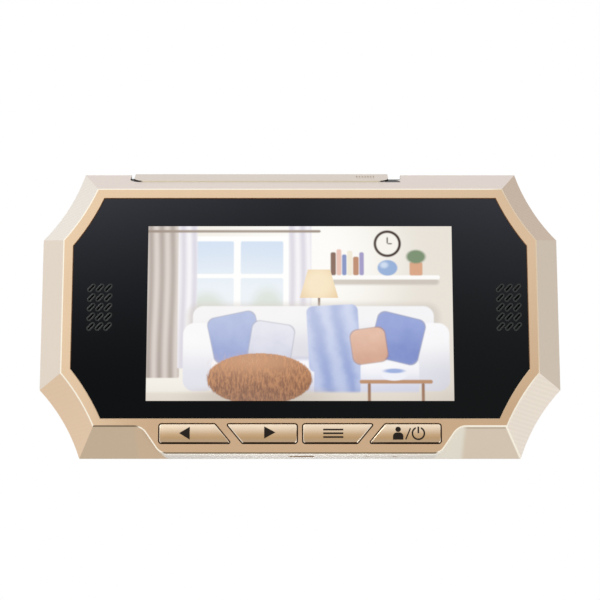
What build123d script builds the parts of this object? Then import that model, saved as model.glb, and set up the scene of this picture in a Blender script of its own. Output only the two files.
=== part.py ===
from build123d import *
import os

# Indoor monitor of a door viewer, in millimetres.
# +Z is up, the front faces -Y, and the origin lies under the middle of the bounding box.
# Depths are counted backwards from the front face of the gold rim.

# Case outline: an octagon with hollow corners, and a bevel all round
corner_run = 13.05
corner_rise = 21.7
corner_sagitta = 1.4
bevel_inset = 8.55
bevel_depth = 15.0
band_depth = 0.8
case_wall = 2.2
edge_cut = 0.4

# Chin that carries the keys, a little narrower than the picture
chin_foot_setback = 4.52
chin_shoulder_run = 5.8
chin_foot_radius = 4.0
chin_shoulder_radius = 4.5
chin_overlap = 4.0
chin_wall = 1.6
chin_floor = 2.0

# Black window panel
rim_side = 3.0
rim_top = 3.0
rim_foot = 2.3
panel_corner_run = 9.45
panel_corner_rise = 15.3
panel_corner_sagitta = 0.57
panel_thickness = 1.2
panel_recess = 0.2
tape_thickness = 0.1
tape_width = 1.6
pocket_floor = 1.5
pocket_edge_cut = 0.2

# Sound slots in the window panel
slot_length = 2.45
slot_width = 0.62
slot_rim = 0.42
slot_rim_height = 0.12
slot_pitch_x = 2.63
slot_pitch_z = 3.05
slot_columns = 3
slot_rows = 5
slot_angle = 47
grille_left_edge = 8.55
grille_right_edge = 5.9

# Picture area and display module
picture_width = 95.04
picture_height = 55.2
picture_side_margin = 23.38
picture_foot_margin = 5.45
picture_head_margin = 8.95
picture_window_margin = 1.0
glass_side_margin = 4.3
glass_foot_margin = 2.6
glass_head_margin = 6.0
glass_thickness = 1.2
gasket_thickness = 0.5
can_margin = 0.9
can_thickness = 1.8
display_flex_width = 24.0
display_flex_thickness = 0.2
display_flex_rise = 1.0

# Clamp frame behind the display
clamp_thickness = 0.8
clamp_overhang = 0.5
clamp_band = 9.0
clamp_ear_reach = 3.0
clamp_ear_height = 6.2
clamp_finger_width = 6.0
clamp_finger_setback = 5.4
clamp_finger_overlap = 2.5

# Keys
key_proud = 0.4
key_height = 5.85
key_foot = 3.25
key_row_overhang = 0.2
key_outer_width = 17.0
key_slant_run = 4.85
key_slant_gap = 3.7
key_middle_gap = 1.9
key_corner_radius = 0.7
key_tip_radius = 0.3
key_edge_radius = 0.3
key_gap = 0.35
key_lip = 0.7
key_lip_thickness = 0.7
key_lip_gap = 0.1
key_stem_radius = 1.5
key_stem_length = 0.5
key_travel = 0.35
key_end_gap = 0.25

# Push switches behind the keys, and their board
switch_size = 4.5
switch_height = 1.6
switch_corner = 0.5
plunger_radius = 1.0
plunger_sunk = 0.8
plunger_fit = 0.08
plunger_end_gap = 0.2
key_board_thickness = 1.0
key_board_height = 7.4
key_board_end_gap = 0.3
key_board_ledge = 1.8
key_ribbon_width = 8.0
key_ribbon_thickness = 0.15
key_ribbon_setback = 15.4
key_ribbon_pad = 4.0

# Main board
board_depth = 9.6
board_thickness = 1.2
board_side_setback = 15.6
board_foot = 12.0
board_head_setback = 16.0
foot_tongue_left = -12.0
foot_tongue_setback = 5.4
foot_tongue_foot = 3.0
head_tongue_gap = 1.0
head_tongue_margin = 1.6
head_tongue_setback = 6.0

# Screws and the bosses they go into
boss_radius = 2.5
boss_bore_radius = 0.9
small_screw_radius = 0.85
small_screw_length = 5.0
small_screw_head_radius = 1.9
small_screw_head_height = 1.2
small_screw_hole_radius = 1.15
clamp_boss_offset = 4.0
clamp_boss_setback = 9.6
board_boss_edge = 6.35
board_boss_head_edge = 4.5
case_boss_edge = 12.4
case_boss_half_span = 16.0
case_boss_radius = 2.8
case_boss_bore_radius = 1.15
case_screw_radius = 1.1
case_screw_length = 9.0
case_screw_head_radius = 2.1
case_screw_head_height = 1.6
case_screw_seat_radius = 2.4
case_screw_seat_depth = 2.6
screw_hole_radius = 1.4
rear_boss_radius = 3.2
socket_drive_radius = 0.6
socket_drive_depth = 0.6

# Rear cover
rear_depth = 6.2
rear_step = 1.5
rear_straight = 2.2
rear_cant = 2.3
rear_wall = 1.8
bracket_vent_gap = 20.0
bracket_foot = 10.0
bracket_head = 40.0
bracket_recess = 1.8
bracket_corner = 2.0
hook_slot_width = 3.6
hook_slot_length = 7.5
hook_side_setback = 10.0
hook_end_setback = 7.0
vent_length = 9.0
vent_width = 1.2
vent_pitch = 2.6
vent_count = 6
vent_boss_gap = 10.05

# Top lid over the battery and the card socket
lid_left_setback = 29.05
lid_right_setback = 53.95
lid_front_depth = 7.7
lid_corner = 3.0
lid_gap = 0.2
lid_proud = 0.35
lid_under = 3.4
lid_reach = 8.0
notch_width = 3.9
notch_depth = 1.4
notch_setback = 0.8
small_notch_width = 1.1
small_notch_depth = 1.2
lid_grip_width = 0.35
lid_grip_pitch = 0.9
lid_grip_count = 7
lid_grip_sunk = 0.25
lid_grip_setback = 7.5
lid_grip_length = 3.4
lid_grip_depth = 11.6

# Battery, its bay and its contacts
battery_corner = 1.5
battery_gap = 0.4
battery_head_gap = 1.4
bay_wall = 1.0
bay_side_gap = 0.6
bay_board_gap = 0.8
bay_bracket_gap = 2.6
contact_height = 1.6
contact_thickness = 0.3
contact_width = 2.4
contact_pitch = 4.4
contact_count = 3
contact_setback = 13.4
contact_top_length = 1.4
contact_slope_length = 1.2
contact_foot_length = 0.9
terminal_thickness = 0.2
terminal_length = 3.0

# Speakers
speaker_radius = 8.0
speaker_gasket_thickness = 0.6
speaker_gasket_width = 1.4
speaker_cone_thickness = 0.2
speaker_dome_radius = 4.0
speaker_dome_height = 0.8
speaker_dome_slope = 45
speaker_rim_thickness = 0.8
speaker_cup_radius = 7.0
speaker_cup_depth = 2.0
speaker_cup_wall = 0.7
speaker_magnet_radius = 4.5
speaker_magnet_depth = 1.4
speaker_opening_radius = 6.4
lead_radius = 0.4
lead_pitch = 2.0
lead_offset = 7.5
lead_jog = 1.6
lead_bend = 0.9

# Sockets, microphone and reset switch in the chin
usb_place = 0.4
usb_width = 7.5
usb_thickness = 2.7
usb_height = 5.5
usb_wall = 0.3
usb_sunk = 0.6
usb_tongue_width = 4.2
usb_tongue_thickness = 0.6
usb_tongue_setback = 1.0
usb_opening_gap = 0.3
microphone_reset_gap = 8.5
microphone_width = 3.0
microphone_thickness = 2.2
microphone_height = 1.2
boot_wall = 0.5
boot_height = 3.0
sound_hole_radius = 0.55
reset_tongue_gap = 6.6
reset_width = 4.0
reset_thickness = 2.4
reset_height = 3.0
reset_foot = 4.0
reset_plunger_radius = 0.6
reset_plunger_proud = 1.0
reset_plunger_sunk = 0.8
reset_travel = 0.25
reset_hole_radius = 0.8

# Parts on the back of the main board
camera_socket_width = 11.0
camera_socket_height = 6.0
camera_socket_wall = 1.0
camera_socket_setback = 0.7
camera_socket_cavity_height = 3.2
camera_socket_cavity_depth = 6.0
camera_socket_gap = 0.3
pin_size = 0.5
pin_pitch = 1.25
pin_count = 6
pin_length = 4.5
card_socket_width = 14.0
card_socket_bay_gap = 2.4
card_socket_lid_gap = 0.1
card_socket_height = 14.4
card_socket_thickness = 1.8
card_slot_width = 11.4
card_slot_thickness = 1.0
card_slot_depth = 12.0
processor_size = 15.0
processor_thickness = 1.4
processor_x = -26.0
processor_z = 26.0
memory_width = 9.0
memory_height = 12.5
memory_thickness = 1.1
memory_x = -46.0
memory_z = 26.0
shield_width = 24.0
shield_height = 20.0
shield_thickness = 2.6
shield_wall = 0.25
shield_x = 30.0
shield_z = 27.0
display_socket_width = 26.0
display_socket_height = 5.0
display_socket_thickness = 1.6
display_socket_drop = 4.5
capacitor_width = 1.6
capacitor_height = 0.9
capacitor_thickness = 0.8
capacitor_pitch = 4.0
capacitor_columns = 4
capacitor_rows = 2
capacitor_gap = 4.0

# General clearances
fit_gap = 0.1
seat_gap = 0.3
overrun = 1.0

# Places worked out from the sizes above
outline_half_width = picture_width / 2 + picture_side_margin + rim_side + bevel_inset
panel_foot = bevel_inset + rim_foot
picture_foot = panel_foot + picture_foot_margin
panel_head = picture_foot + picture_height + picture_head_margin
outline_height = panel_head + rim_top + bevel_inset
chin_foot_half_width = picture_width / 2 - chin_foot_setback
chin_shoulder_half_width = chin_foot_half_width + chin_shoulder_run
rear_face_depth = bevel_depth + band_depth + rear_depth
seam_depth = bevel_depth + band_depth
rim_y = key_proud - (key_proud + rear_face_depth) / 2
pocket_depth = panel_recess + panel_thickness + tape_thickness
floor_depth = pocket_depth + pocket_floor
rim_half_width = outline_half_width - bevel_inset
rim_edge_inset = bevel_inset * (bevel_depth - edge_cut) / bevel_depth
panel_half_width = rim_half_width - rim_side
grille_left_x = grille_left_edge - panel_half_width
grille_right_x = panel_half_width - grille_right_edge
grille_z = (panel_foot + panel_head) / 2
picture_z = picture_foot + picture_height / 2
glass_half_width = picture_width / 2 + glass_side_margin
glass_foot = picture_foot - glass_foot_margin
glass_head = picture_foot + picture_height + glass_head_margin
glass_depth = floor_depth + gasket_thickness
can_depth = glass_depth + glass_thickness
clamp_depth = can_depth + can_thickness
clamp_foot = glass_foot - can_margin - clamp_overhang
clamp_head = glass_head + can_margin - clamp_overhang
clamp_half_width = glass_half_width + can_margin + clamp_overhang
clamp_boss_x = clamp_half_width + clamp_boss_offset - clamp_overhang
clamp_boss_half_span = picture_height / 2 - clamp_boss_setback
board_half_width = outline_half_width - board_side_setback
board_head = outline_height - board_head_setback
board_boss_x = board_half_width - board_boss_edge
case_boss_x = outline_half_width - case_boss_edge
middle_z = outline_height / 2
board_boss_half_span = board_head - middle_z - board_boss_head_edge
vent_place = case_boss_x - vent_boss_gap
bracket_half_width = vent_place - bracket_vent_gap
bracket_middle_z = (bracket_foot + bracket_head) / 2
hook_half_span_x = bracket_half_width - hook_side_setback
hook_half_span_z = (bracket_head - bracket_foot) / 2 - hook_end_setback
key_row_half_width = chin_foot_half_width + key_row_overhang
key_middle_z = key_foot + key_height / 2
key_lip_depth = chin_wall + key_lip_gap
key_stem_depth = key_lip_depth + key_lip_thickness
switch_stand_off = key_travel + key_end_gap
switch_depth = key_stem_depth + key_stem_length + switch_stand_off
plunger_bore_depth = plunger_sunk + key_travel + plunger_end_gap
reset_bore_depth = reset_plunger_sunk + reset_travel + plunger_end_gap
key_board_depth = switch_depth + switch_height
key_board_foot = key_middle_z - key_board_height / 2
key_board_half_width = key_row_half_width - key_board_ledge
clamp_finger_place = key_board_half_width - clamp_finger_setback
key_ribbon_place = key_ribbon_setback - key_board_half_width
foot_tongue_right = key_board_half_width - foot_tongue_setback
reset_place = foot_tongue_right - reset_tongue_gap
microphone_place = reset_place - microphone_reset_gap
board_back = board_depth + board_thickness
rear_inner_depth = rear_face_depth - rear_wall
lid_left = lid_left_setback - outline_half_width
lid_right = outline_half_width - lid_right_setback
lid_under_z = outline_height - lid_under
lid_grip_place = lid_right - lid_grip_setback
bay_depth = board_back + bay_board_gap
bay_left = lid_left + bay_side_gap
bay_right = lid_right - card_socket_lid_gap - card_socket_width - card_socket_bay_gap
bay_width = bay_right - bay_left
battery_left = bay_left + bay_wall + battery_gap
battery_width = bay_width - 2 * (bay_wall + battery_gap)
battery_front = bay_depth + bay_wall + seat_gap
battery_back = rear_inner_depth - bay_wall - seat_gap
battery_head = lid_under_z - battery_head_gap
bay_floor_top = bracket_head + rear_wall + bay_bracket_gap + bay_wall
battery_foot = bay_floor_top + contact_height + terminal_thickness
battery_height = battery_head - battery_foot
contact_place = battery_left + contact_setback
card_socket_left = bay_right + card_socket_bay_gap
head_tongue_left = bay_right + head_tongue_gap
head_tongue_right = card_socket_left + card_socket_width + head_tongue_margin
head_tongue_head = outline_height - head_tongue_setback
display_socket_z = glass_head - display_socket_drop
capacitor_z = processor_z + processor_size / 2 + capacitor_gap
camera_socket_depth = rear_face_depth - bracket_recess - camera_socket_setback
usb_y = rim_y + board_depth - usb_thickness / 2
reset_y = rim_y + board_depth - reset_thickness / 2
microphone_y = rim_y + board_depth - fit_gap - boot_wall - microphone_thickness / 2


def at_depth(depth):
    """Plane that faces the viewer at a depth behind the rim; its own z points to the front."""
    return Plane.XZ.offset(-(rim_y + depth))


def hollow_corner_face(half_width, foot, head, run, rise, sagitta, inset):
    """Octagon whose four slanted corners are hollow arcs, with all its sides moved in."""
    left_foot = (run - half_width, foot)
    right_foot = (half_width - run, foot)
    right_low = (half_width, foot + rise)
    right_high = (half_width, head - rise)
    right_head = (half_width - run, head)
    left_head = (run - half_width, head)
    left_high = (-half_width, head - rise)
    left_low = (-half_width, foot + rise)
    with BuildSketch() as face:
        with BuildLine():
            Line(left_foot, right_foot)
            SagittaArc(right_foot, right_low, sagitta)
            Line(right_low, right_high)
            SagittaArc(right_high, right_head, sagitta)
            Line(right_head, left_head)
            SagittaArc(left_head, left_high, sagitta)
            Line(left_high, left_low)
            SagittaArc(left_low, left_foot, sagitta)
        make_face()
        if inset:
            offset(amount=-inset, kind=Kind.INTERSECTION)
    return face.sketch


def outline_face(inset):
    """Outline of the case at its widest, moved in by inset."""
    return hollow_corner_face(
        outline_half_width, 0, outline_height, corner_run, corner_rise, corner_sagitta, inset
    )


def panel_face(inset):
    """Outline of the window panel's pocket, moved in by inset."""
    return hollow_corner_face(
        panel_half_width,
        panel_foot,
        panel_head,
        panel_corner_run,
        panel_corner_rise,
        panel_corner_sagitta,
        inset,
    )


def front_body(inset):
    """Solid front half of the case: bevel and straight band, with its sides moved in."""
    with BuildPart() as body:
        with BuildSketch(at_depth(bevel_depth)):
            add(outline_face(inset))
        with BuildSketch(at_depth(edge_cut)):
            add(outline_face(inset + rim_edge_inset))
        loft(ruled=True)
        with BuildSketch(at_depth(seam_depth)):
            add(outline_face(inset))
        extrude(amount=band_depth)
    return body.part


def rear_body(inset):
    """Solid rear half of the case: straight step, then a cant to the back face."""
    turn = seam_depth + rear_straight
    with BuildPart() as body:
        with BuildSketch(at_depth(turn)):
            add(outline_face(rear_step + inset))
        extrude(amount=rear_straight)
        with BuildSketch(at_depth(turn)):
            add(outline_face(rear_step + inset))
        with BuildSketch(at_depth(rear_face_depth - max(inset, 0))):
            add(outline_face(rear_step + inset + rear_cant))
        loft(ruled=True)
    return body.part


def chin_face():
    """Profile of the chin, which swells down out of the lower rim."""
    top = rim_edge_inset + chin_overlap
    reach = chin_shoulder_half_width + chin_overlap
    with BuildSketch() as face:
        with BuildLine():
            FilletPolyline(
                (-reach, rim_edge_inset),
                (-chin_shoulder_half_width, rim_edge_inset),
                (-chin_foot_half_width, 0),
                (chin_foot_half_width, 0),
                (chin_shoulder_half_width, rim_edge_inset),
                (reach, rim_edge_inset),
                radius=[
                    chin_shoulder_radius,
                    chin_foot_radius,
                    chin_foot_radius,
                    chin_shoulder_radius,
                ],
            )
            Polyline((reach, rim_edge_inset), (reach, top), (-reach, top), (-reach, rim_edge_inset))
        make_face()
    return face.sketch


def rim_face(inset):
    """Front outline of the rim and the chin together, moved in by inset."""
    with BuildSketch() as face:
        add(outline_face(rim_edge_inset))
        add(chin_face())
        if inset:
            offset(amount=-inset, kind=Kind.INTERSECTION)
    return face.sketch


def lid_prism(gap, left, right, front):
    """Upright block over the lid's place, with its two front corners rounded."""
    with BuildPart() as prism:
        with BuildSketch(Plane.XY.offset(outline_height - lid_reach)):
            with BuildLine():
                FilletPolyline(
                    (left + gap, rim_y + rear_inner_depth - gap),
                    (left + gap, rim_y + front + gap),
                    (right - gap, rim_y + front + gap),
                    (right - gap, rim_y + rear_inner_depth - gap),
                    radius=lid_corner,
                )
                Line(
                    (right - gap, rim_y + rear_inner_depth - gap),
                    (left + gap, rim_y + rear_inner_depth - gap),
                )
            make_face()
        extrude(amount=lid_reach + overrun)
    return prism.part


def key_face(side, outer, grow, reach):
    """Outline of one key: side is -1 or 1, outer picks the end key, grow widens it all round."""
    foot = key_foot - reach
    head = key_foot + key_height + reach
    slant_head = key_row_half_width - key_outer_width
    slant_foot = slant_head - key_slant_run
    far_foot = key_row_half_width if outer else slant_foot - key_slant_gap
    far_head = key_row_half_width if outer else slant_head - key_slant_gap
    near_foot = slant_foot if outer else key_middle_gap / 2
    near_head = slant_head if outer else key_middle_gap / 2
    points = [(near_foot, foot), (far_foot, foot), (far_head, head), (near_head, head)]
    tip = (side * near_foot, foot) if outer else (side * far_head, head)
    with BuildSketch() as face:
        with BuildLine():
            Polyline(*[(side * x, z) for x, z in points], close=True)
        make_face()
        fillet(face.vertices().sort_by_distance(tip)[1:], radius=key_corner_radius)
        fillet(face.vertices().sort_by_distance(tip)[0], radius=key_tip_radius)
        if grow:
            offset(amount=grow)
    return face.sketch


KEYS = [
    ("previous", -1, True),
    ("next", -1, False),
    ("menu", 1, False),
    ("power", 1, True),
]
GRILLES = [("left", grille_left_x), ("right", grille_right_x)]


def key_centre(side, outer):
    """Middle of a key across the chin, where its switch stands."""
    slant_middle = key_row_half_width - key_outer_width - key_slant_run / 2
    if outer:
        return side * (key_row_half_width + slant_middle) / 2
    return side * (slant_middle - key_slant_gap + key_middle_gap / 2) / 2


def save(part, node):
    """Labels a finished piece and writes it under its node's name."""
    part.label = node
    export_step(part, "parts/" + node + ".step")


# Front bezel: bevelled shell with the chin, the panel's pocket and the screw bosses
front_solid = front_body(0)
front_hollow = front_body(case_wall)
lid_cut = lid_prism(0, lid_left, lid_right, lid_front_depth)
notch_block = lid_prism(0, lid_right - lid_corner, lid_right + notch_width, lid_front_depth + notch_setback)
notch_core = front_body(notch_depth)
small_notch_block = lid_prism(0, lid_left - small_notch_width, lid_left + 3 * lid_corner, lid_front_depth)
small_notch_core = front_body(small_notch_depth)
with BuildPart() as notch:
    add(notch_block)
    add(notch_core, mode=Mode.SUBTRACT)
with BuildPart() as small_notch:
    add(small_notch_block)
    add(small_notch_core, mode=Mode.SUBTRACT)
with BuildPart() as hollow:
    add(front_hollow)
    split(bisect_by=at_depth(floor_depth), keep=Keep.BOTTOM)

with BuildPart() as front_bezel:
    add(front_solid)
    with BuildSketch(at_depth(seam_depth)):
        add(chin_face())
    extrude(amount=seam_depth - edge_cut)
    with BuildSketch(at_depth(edge_cut)):
        add(rim_face(0))
    with BuildSketch(at_depth(0)):
        add(rim_face(edge_cut))
    loft(ruled=True)
    add(hollow.part, mode=Mode.SUBTRACT)
    # Key chamber in the chin, stepped so that the key board rests on a ledge at each end
    chamber_head = key_foot + key_height + key_lip + seat_gap
    chamber_steps = [
        (key_row_half_width + key_gap, chin_wall, switch_depth - switch_stand_off),
        (key_board_half_width - key_board_ledge / 2, chin_wall, key_board_depth),
        (key_board_half_width + key_board_end_gap, key_board_depth, seam_depth),
    ]
    for half_width, front, back in chamber_steps:
        with BuildSketch(at_depth(back)):
            with BuildLine():
                Polyline(
                    (-half_width, chin_floor),
                    (half_width, chin_floor),
                    (half_width, chamber_head),
                    (-half_width, chamber_head),
                    close=True,
                )
            make_face()
        extrude(amount=back - front, mode=Mode.SUBTRACT)
    # Pocket of the window panel, with a fine polished edge
    with BuildSketch(at_depth(pocket_depth)):
        add(panel_face(0))
    extrude(amount=pocket_depth, mode=Mode.SUBTRACT)
    with BuildSketch(at_depth(pocket_edge_cut)):
        add(panel_face(0))
    with BuildSketch(at_depth(0)):
        add(panel_face(-pocket_edge_cut))
    loft(ruled=True, mode=Mode.SUBTRACT)
    # Window behind the picture, and the two sound openings
    with BuildSketch(at_depth(floor_depth)):
        with Locations((0, picture_z)):
            Rectangle(
                picture_width + 2 * picture_window_margin,
                picture_height + 2 * picture_window_margin,
            )
        with Locations((grille_left_x, grille_z), (grille_right_x, grille_z)):
            Circle(speaker_opening_radius)
    extrude(amount=pocket_floor, mode=Mode.SUBTRACT)
    # Bosses for the clamp frame, the main board and the case screws
    boss_groups = [
        (clamp_boss_x, picture_z, clamp_boss_half_span, clamp_depth, boss_radius, boss_bore_radius),
        (board_boss_x, middle_z, board_boss_half_span, board_depth, boss_radius, boss_bore_radius),
        (
            case_boss_x,
            middle_z,
            case_boss_half_span,
            seam_depth,
            case_boss_radius,
            case_boss_bore_radius,
        ),
    ]
    for x, z, half_span, back, outer_radius, bore_radius in boss_groups:
        with BuildSketch(at_depth(back)):
            with Locations((0, z)):
                with GridLocations(2 * x, 2 * half_span, 2, 2):
                    Circle(outer_radius)
        extrude(amount=back - floor_depth)
        with BuildSketch(at_depth(back)):
            with Locations((0, z)):
                with GridLocations(2 * x, 2 * half_span, 2, 2):
                    Circle(bore_radius)
        extrude(amount=back - floor_depth, mode=Mode.SUBTRACT)
    # Key openings
    with BuildSketch(at_depth(chin_wall)):
        for name, side, outer in KEYS:
            add(key_face(side, outer, key_gap, 0))
    extrude(amount=chin_wall, mode=Mode.SUBTRACT)
    # Charging socket, microphone and reset openings in the chin's floor
    with BuildSketch(Plane.XY):
        with Locations((usb_place, usb_y)):
            RectangleRounded(
                usb_width + 2 * usb_opening_gap,
                usb_thickness + 2 * usb_opening_gap,
                usb_opening_gap * 2,
            )
        with Locations((microphone_place, microphone_y)):
            Circle(sound_hole_radius)
        with Locations((reset_place, reset_y)):
            Circle(reset_hole_radius)
    extrude(amount=chin_floor, mode=Mode.SUBTRACT)
    # Opening for the lid, with a fingernail notch at its right end and a small one at its left
    add(lid_cut, mode=Mode.SUBTRACT)
    add(notch.part, mode=Mode.SUBTRACT)
    add(small_notch.part, mode=Mode.SUBTRACT)
save(front_bezel.part, "front_bezel")

# Window panel: black panel with slanted sound slots, each inside a raised rim
with BuildPart() as window_panel:
    with BuildSketch(at_depth(panel_recess + panel_thickness)):
        add(panel_face(fit_gap))
    extrude(amount=panel_thickness)
    with BuildSketch(at_depth(panel_recess)):
        with Locations((grille_left_x, grille_z), (grille_right_x, grille_z)):
            with GridLocations(slot_pitch_x, slot_pitch_z, slot_columns, slot_rows):
                SlotOverall(slot_length + 2 * slot_rim, slot_width + 2 * slot_rim, rotation=slot_angle)
    extrude(amount=slot_rim_height)
    with BuildSketch(at_depth(panel_recess + panel_thickness)):
        with Locations((grille_left_x, grille_z), (grille_right_x, grille_z)):
            with GridLocations(slot_pitch_x, slot_pitch_z, slot_columns, slot_rows):
                SlotOverall(slot_length, slot_width, rotation=slot_angle)
    extrude(amount=panel_thickness + slot_rim_height, mode=Mode.SUBTRACT)
save(window_panel.part, "window_panel")

# Adhesive frame that holds the window panel in its pocket
with BuildPart() as panel_tape:
    with BuildSketch(at_depth(pocket_depth)):
        add(panel_face(seat_gap))
        add(panel_face(seat_gap + tape_width), mode=Mode.SUBTRACT)
    extrude(amount=tape_thickness)
save(panel_tape.part, "panel_tape")


def rectangle_between(left, right, foot, head):
    """Rectangle given by its four sides, drawn in the sketch that is open."""
    with Locations(((left + right) / 2, (foot + head) / 2)):
        Rectangle(right - left, head - foot)


# Display module: foam gasket, glass, light box and its folded flex
window_half_width = picture_width / 2 + picture_window_margin
window_foot = picture_foot - picture_window_margin
window_head = picture_foot + picture_height + picture_window_margin
with BuildPart() as display_gasket:
    with BuildSketch(at_depth(glass_depth)):
        rectangle_between(-glass_half_width, glass_half_width, glass_foot, glass_head)
        with Locations((0, picture_z)):
            Rectangle(2 * window_half_width, window_head - window_foot, mode=Mode.SUBTRACT)
    extrude(amount=gasket_thickness)
save(display_gasket.part, "display_gasket")

with BuildPart() as display_glass:
    with BuildSketch(at_depth(can_depth)):
        rectangle_between(-glass_half_width, glass_half_width, glass_foot, glass_head)
    extrude(amount=glass_thickness)
save(display_glass.part, "display_glass")

can_half_width = glass_half_width + can_margin
can_foot = glass_foot - can_margin
can_head = glass_head + can_margin
with BuildPart() as light_box:
    with BuildSketch(at_depth(clamp_depth)):
        rectangle_between(-can_half_width, can_half_width, can_foot, can_head)
    extrude(amount=can_thickness)
    fillet(light_box.edges().filter_by(Axis.Y), radius=can_margin)
save(light_box.part, "light_box")

flex_front_y = rim_y + glass_depth + glass_thickness / 2
flex_top = can_head + display_flex_rise
flex_back_y = rim_y + board_depth - display_socket_thickness / 2
socket_head = display_socket_z + display_socket_height / 2
flex_half = display_flex_thickness / 2
flex_bend = display_flex_rise / 2
with BuildPart() as display_flex:
    with BuildSketch(Plane.YZ):
        with BuildLine():
            for shift in (flex_half, -flex_half):
                FilletPolyline(
                    (flex_front_y - shift, glass_head),
                    (flex_front_y - shift, flex_top + shift),
                    (flex_back_y + shift, flex_top + shift),
                    (flex_back_y + shift, socket_head),
                    radius=flex_bend + shift,
                )
            Line((flex_front_y - flex_half, glass_head), (flex_front_y + flex_half, glass_head))
            Line((flex_back_y - flex_half, socket_head), (flex_back_y + flex_half, socket_head))
        make_face()
    extrude(amount=display_flex_width / 2, both=True)
save(display_flex.part, "display_flex")

# Clamp frame: sheet frame with four ears and two fingers that hold the key board
with BuildPart() as clamp_frame:
    with BuildSketch(at_depth(clamp_depth + clamp_thickness)):
        rectangle_between(-clamp_half_width, clamp_half_width, clamp_foot, clamp_head)
        with Locations((0, picture_z)):
            with GridLocations(0, 2 * clamp_boss_half_span, 1, 2):
                RectangleRounded(
                    2 * (clamp_boss_x + clamp_ear_reach),
                    clamp_ear_height,
                    clamp_overhang * 2,
                )
        rectangle_between(
            clamp_band - clamp_half_width,
            clamp_half_width - clamp_band,
            clamp_foot + clamp_band,
            clamp_head - clamp_band,
        )
    extrude(amount=clamp_thickness)
    with BuildSketch(at_depth(clamp_depth + clamp_thickness)):
        rectangle_between(
            clamp_band - clamp_half_width,
            clamp_half_width - clamp_band,
            clamp_foot + clamp_band,
            clamp_head - clamp_band,
        )
        with Locations((0, picture_z)):
            with GridLocations(2 * clamp_boss_x, 2 * clamp_boss_half_span, 2, 2):
                Circle(small_screw_hole_radius)
    extrude(amount=clamp_thickness, mode=Mode.SUBTRACT)
    key_board_back = key_board_depth + key_board_thickness
    for side in (-1, 1):
        finger_x = side * clamp_finger_place
        finger_foot = key_board_foot + key_board_height - clamp_finger_overlap
        with BuildSketch(at_depth(clamp_depth + clamp_thickness)):
            rectangle_between(
                finger_x - clamp_finger_width / 2,
                finger_x + clamp_finger_width / 2,
                finger_foot,
                clamp_foot,
            )
        extrude(amount=clamp_depth + clamp_thickness - key_board_back)
save(clamp_frame.part, "clamp_frame")

# Keys: four caps, each with a lip behind the chin's wall and a stem to its switch
for name, side, outer in KEYS:
    with BuildPart() as key_cap:
        with BuildSketch(at_depth(key_lip_depth)):
            add(key_face(side, outer, 0, 0))
        extrude(amount=key_lip_depth + key_proud)
        fillet(key_cap.faces().sort_by(Axis.Y)[0].edges(), radius=key_edge_radius)
        with BuildSketch(at_depth(key_stem_depth)):
            add(key_face(side, outer, 0, key_lip))
        extrude(amount=key_lip_thickness)
        with BuildSketch(at_depth(key_stem_depth + key_stem_length)):
            with Locations((key_centre(side, outer), key_middle_z)):
                Circle(key_stem_radius)
        extrude(amount=key_stem_length)
    save(key_cap.part, "key_" + name)

    plunger_front = key_stem_depth + key_stem_length
    plunger_back = switch_depth + plunger_sunk
    with BuildPart() as plunger:
        with BuildSketch(at_depth(plunger_back)):
            with Locations((key_centre(side, outer), key_middle_z)):
                Circle(plunger_radius)
        extrude(amount=plunger_back - plunger_front)
    save(plunger.part, "plunger_" + name)

    with BuildPart() as switch_body:
        with BuildSketch(at_depth(key_board_depth)):
            with Locations((key_centre(side, outer), key_middle_z)):
                RectangleRounded(switch_size, switch_size, switch_corner)
        extrude(amount=switch_height)
        with BuildSketch(at_depth(switch_depth + plunger_bore_depth)):
            with Locations((key_centre(side, outer), key_middle_z)):
                Circle(plunger_radius + plunger_fit)
        extrude(amount=plunger_bore_depth, mode=Mode.SUBTRACT)
    save(switch_body.part, "switch_" + name)

# Key board and the ribbon that joins it to the main board
with BuildPart() as key_board:
    with BuildSketch(at_depth(key_board_back)):
        rectangle_between(
            -key_board_half_width,
            key_board_half_width,
            key_board_foot,
            key_board_foot + key_board_height,
        )
    extrude(amount=key_board_thickness)
save(key_board.part, "key_board")

ribbon_key_y = rim_y + key_board_back
ribbon_board_y = rim_y + board_depth
ribbon_key_head = key_board_foot + key_board_height
with BuildPart() as key_ribbon:
    with BuildSketch(Plane.YZ.offset(key_ribbon_place)):
        with BuildLine():
            Polyline(
                (ribbon_key_y, ribbon_key_head - key_ribbon_pad),
                (ribbon_key_y + key_ribbon_thickness, ribbon_key_head - key_ribbon_pad),
                (ribbon_key_y + key_ribbon_thickness, ribbon_key_head - key_ribbon_pad / 2),
                (ribbon_board_y, board_foot),
                (ribbon_board_y, board_foot + key_ribbon_pad),
                (ribbon_board_y - key_ribbon_thickness, board_foot + key_ribbon_pad),
                (ribbon_board_y - key_ribbon_thickness, board_foot + key_ribbon_thickness),
                (ribbon_key_y, ribbon_key_head - key_ribbon_pad / 2 + key_ribbon_thickness),
                close=True,
            )
        make_face()
    extrude(amount=key_ribbon_width / 2, both=True)
save(key_ribbon.part, "key_ribbon")

# Main board, with a tongue down into the chin and one up under the lid
with BuildPart() as main_board:
    with BuildSketch(at_depth(board_back)):
        rectangle_between(-board_half_width, board_half_width, board_foot, board_head)
        rectangle_between(foot_tongue_left, foot_tongue_right, foot_tongue_foot, board_foot)
        rectangle_between(head_tongue_left, head_tongue_right, board_head, head_tongue_head)
        with Locations((0, middle_z)):
            with GridLocations(2 * board_boss_x, 2 * board_boss_half_span, 2, 2):
                Circle(small_screw_hole_radius, mode=Mode.SUBTRACT)
    extrude(amount=board_thickness)
save(main_board.part, "main_board")


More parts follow.
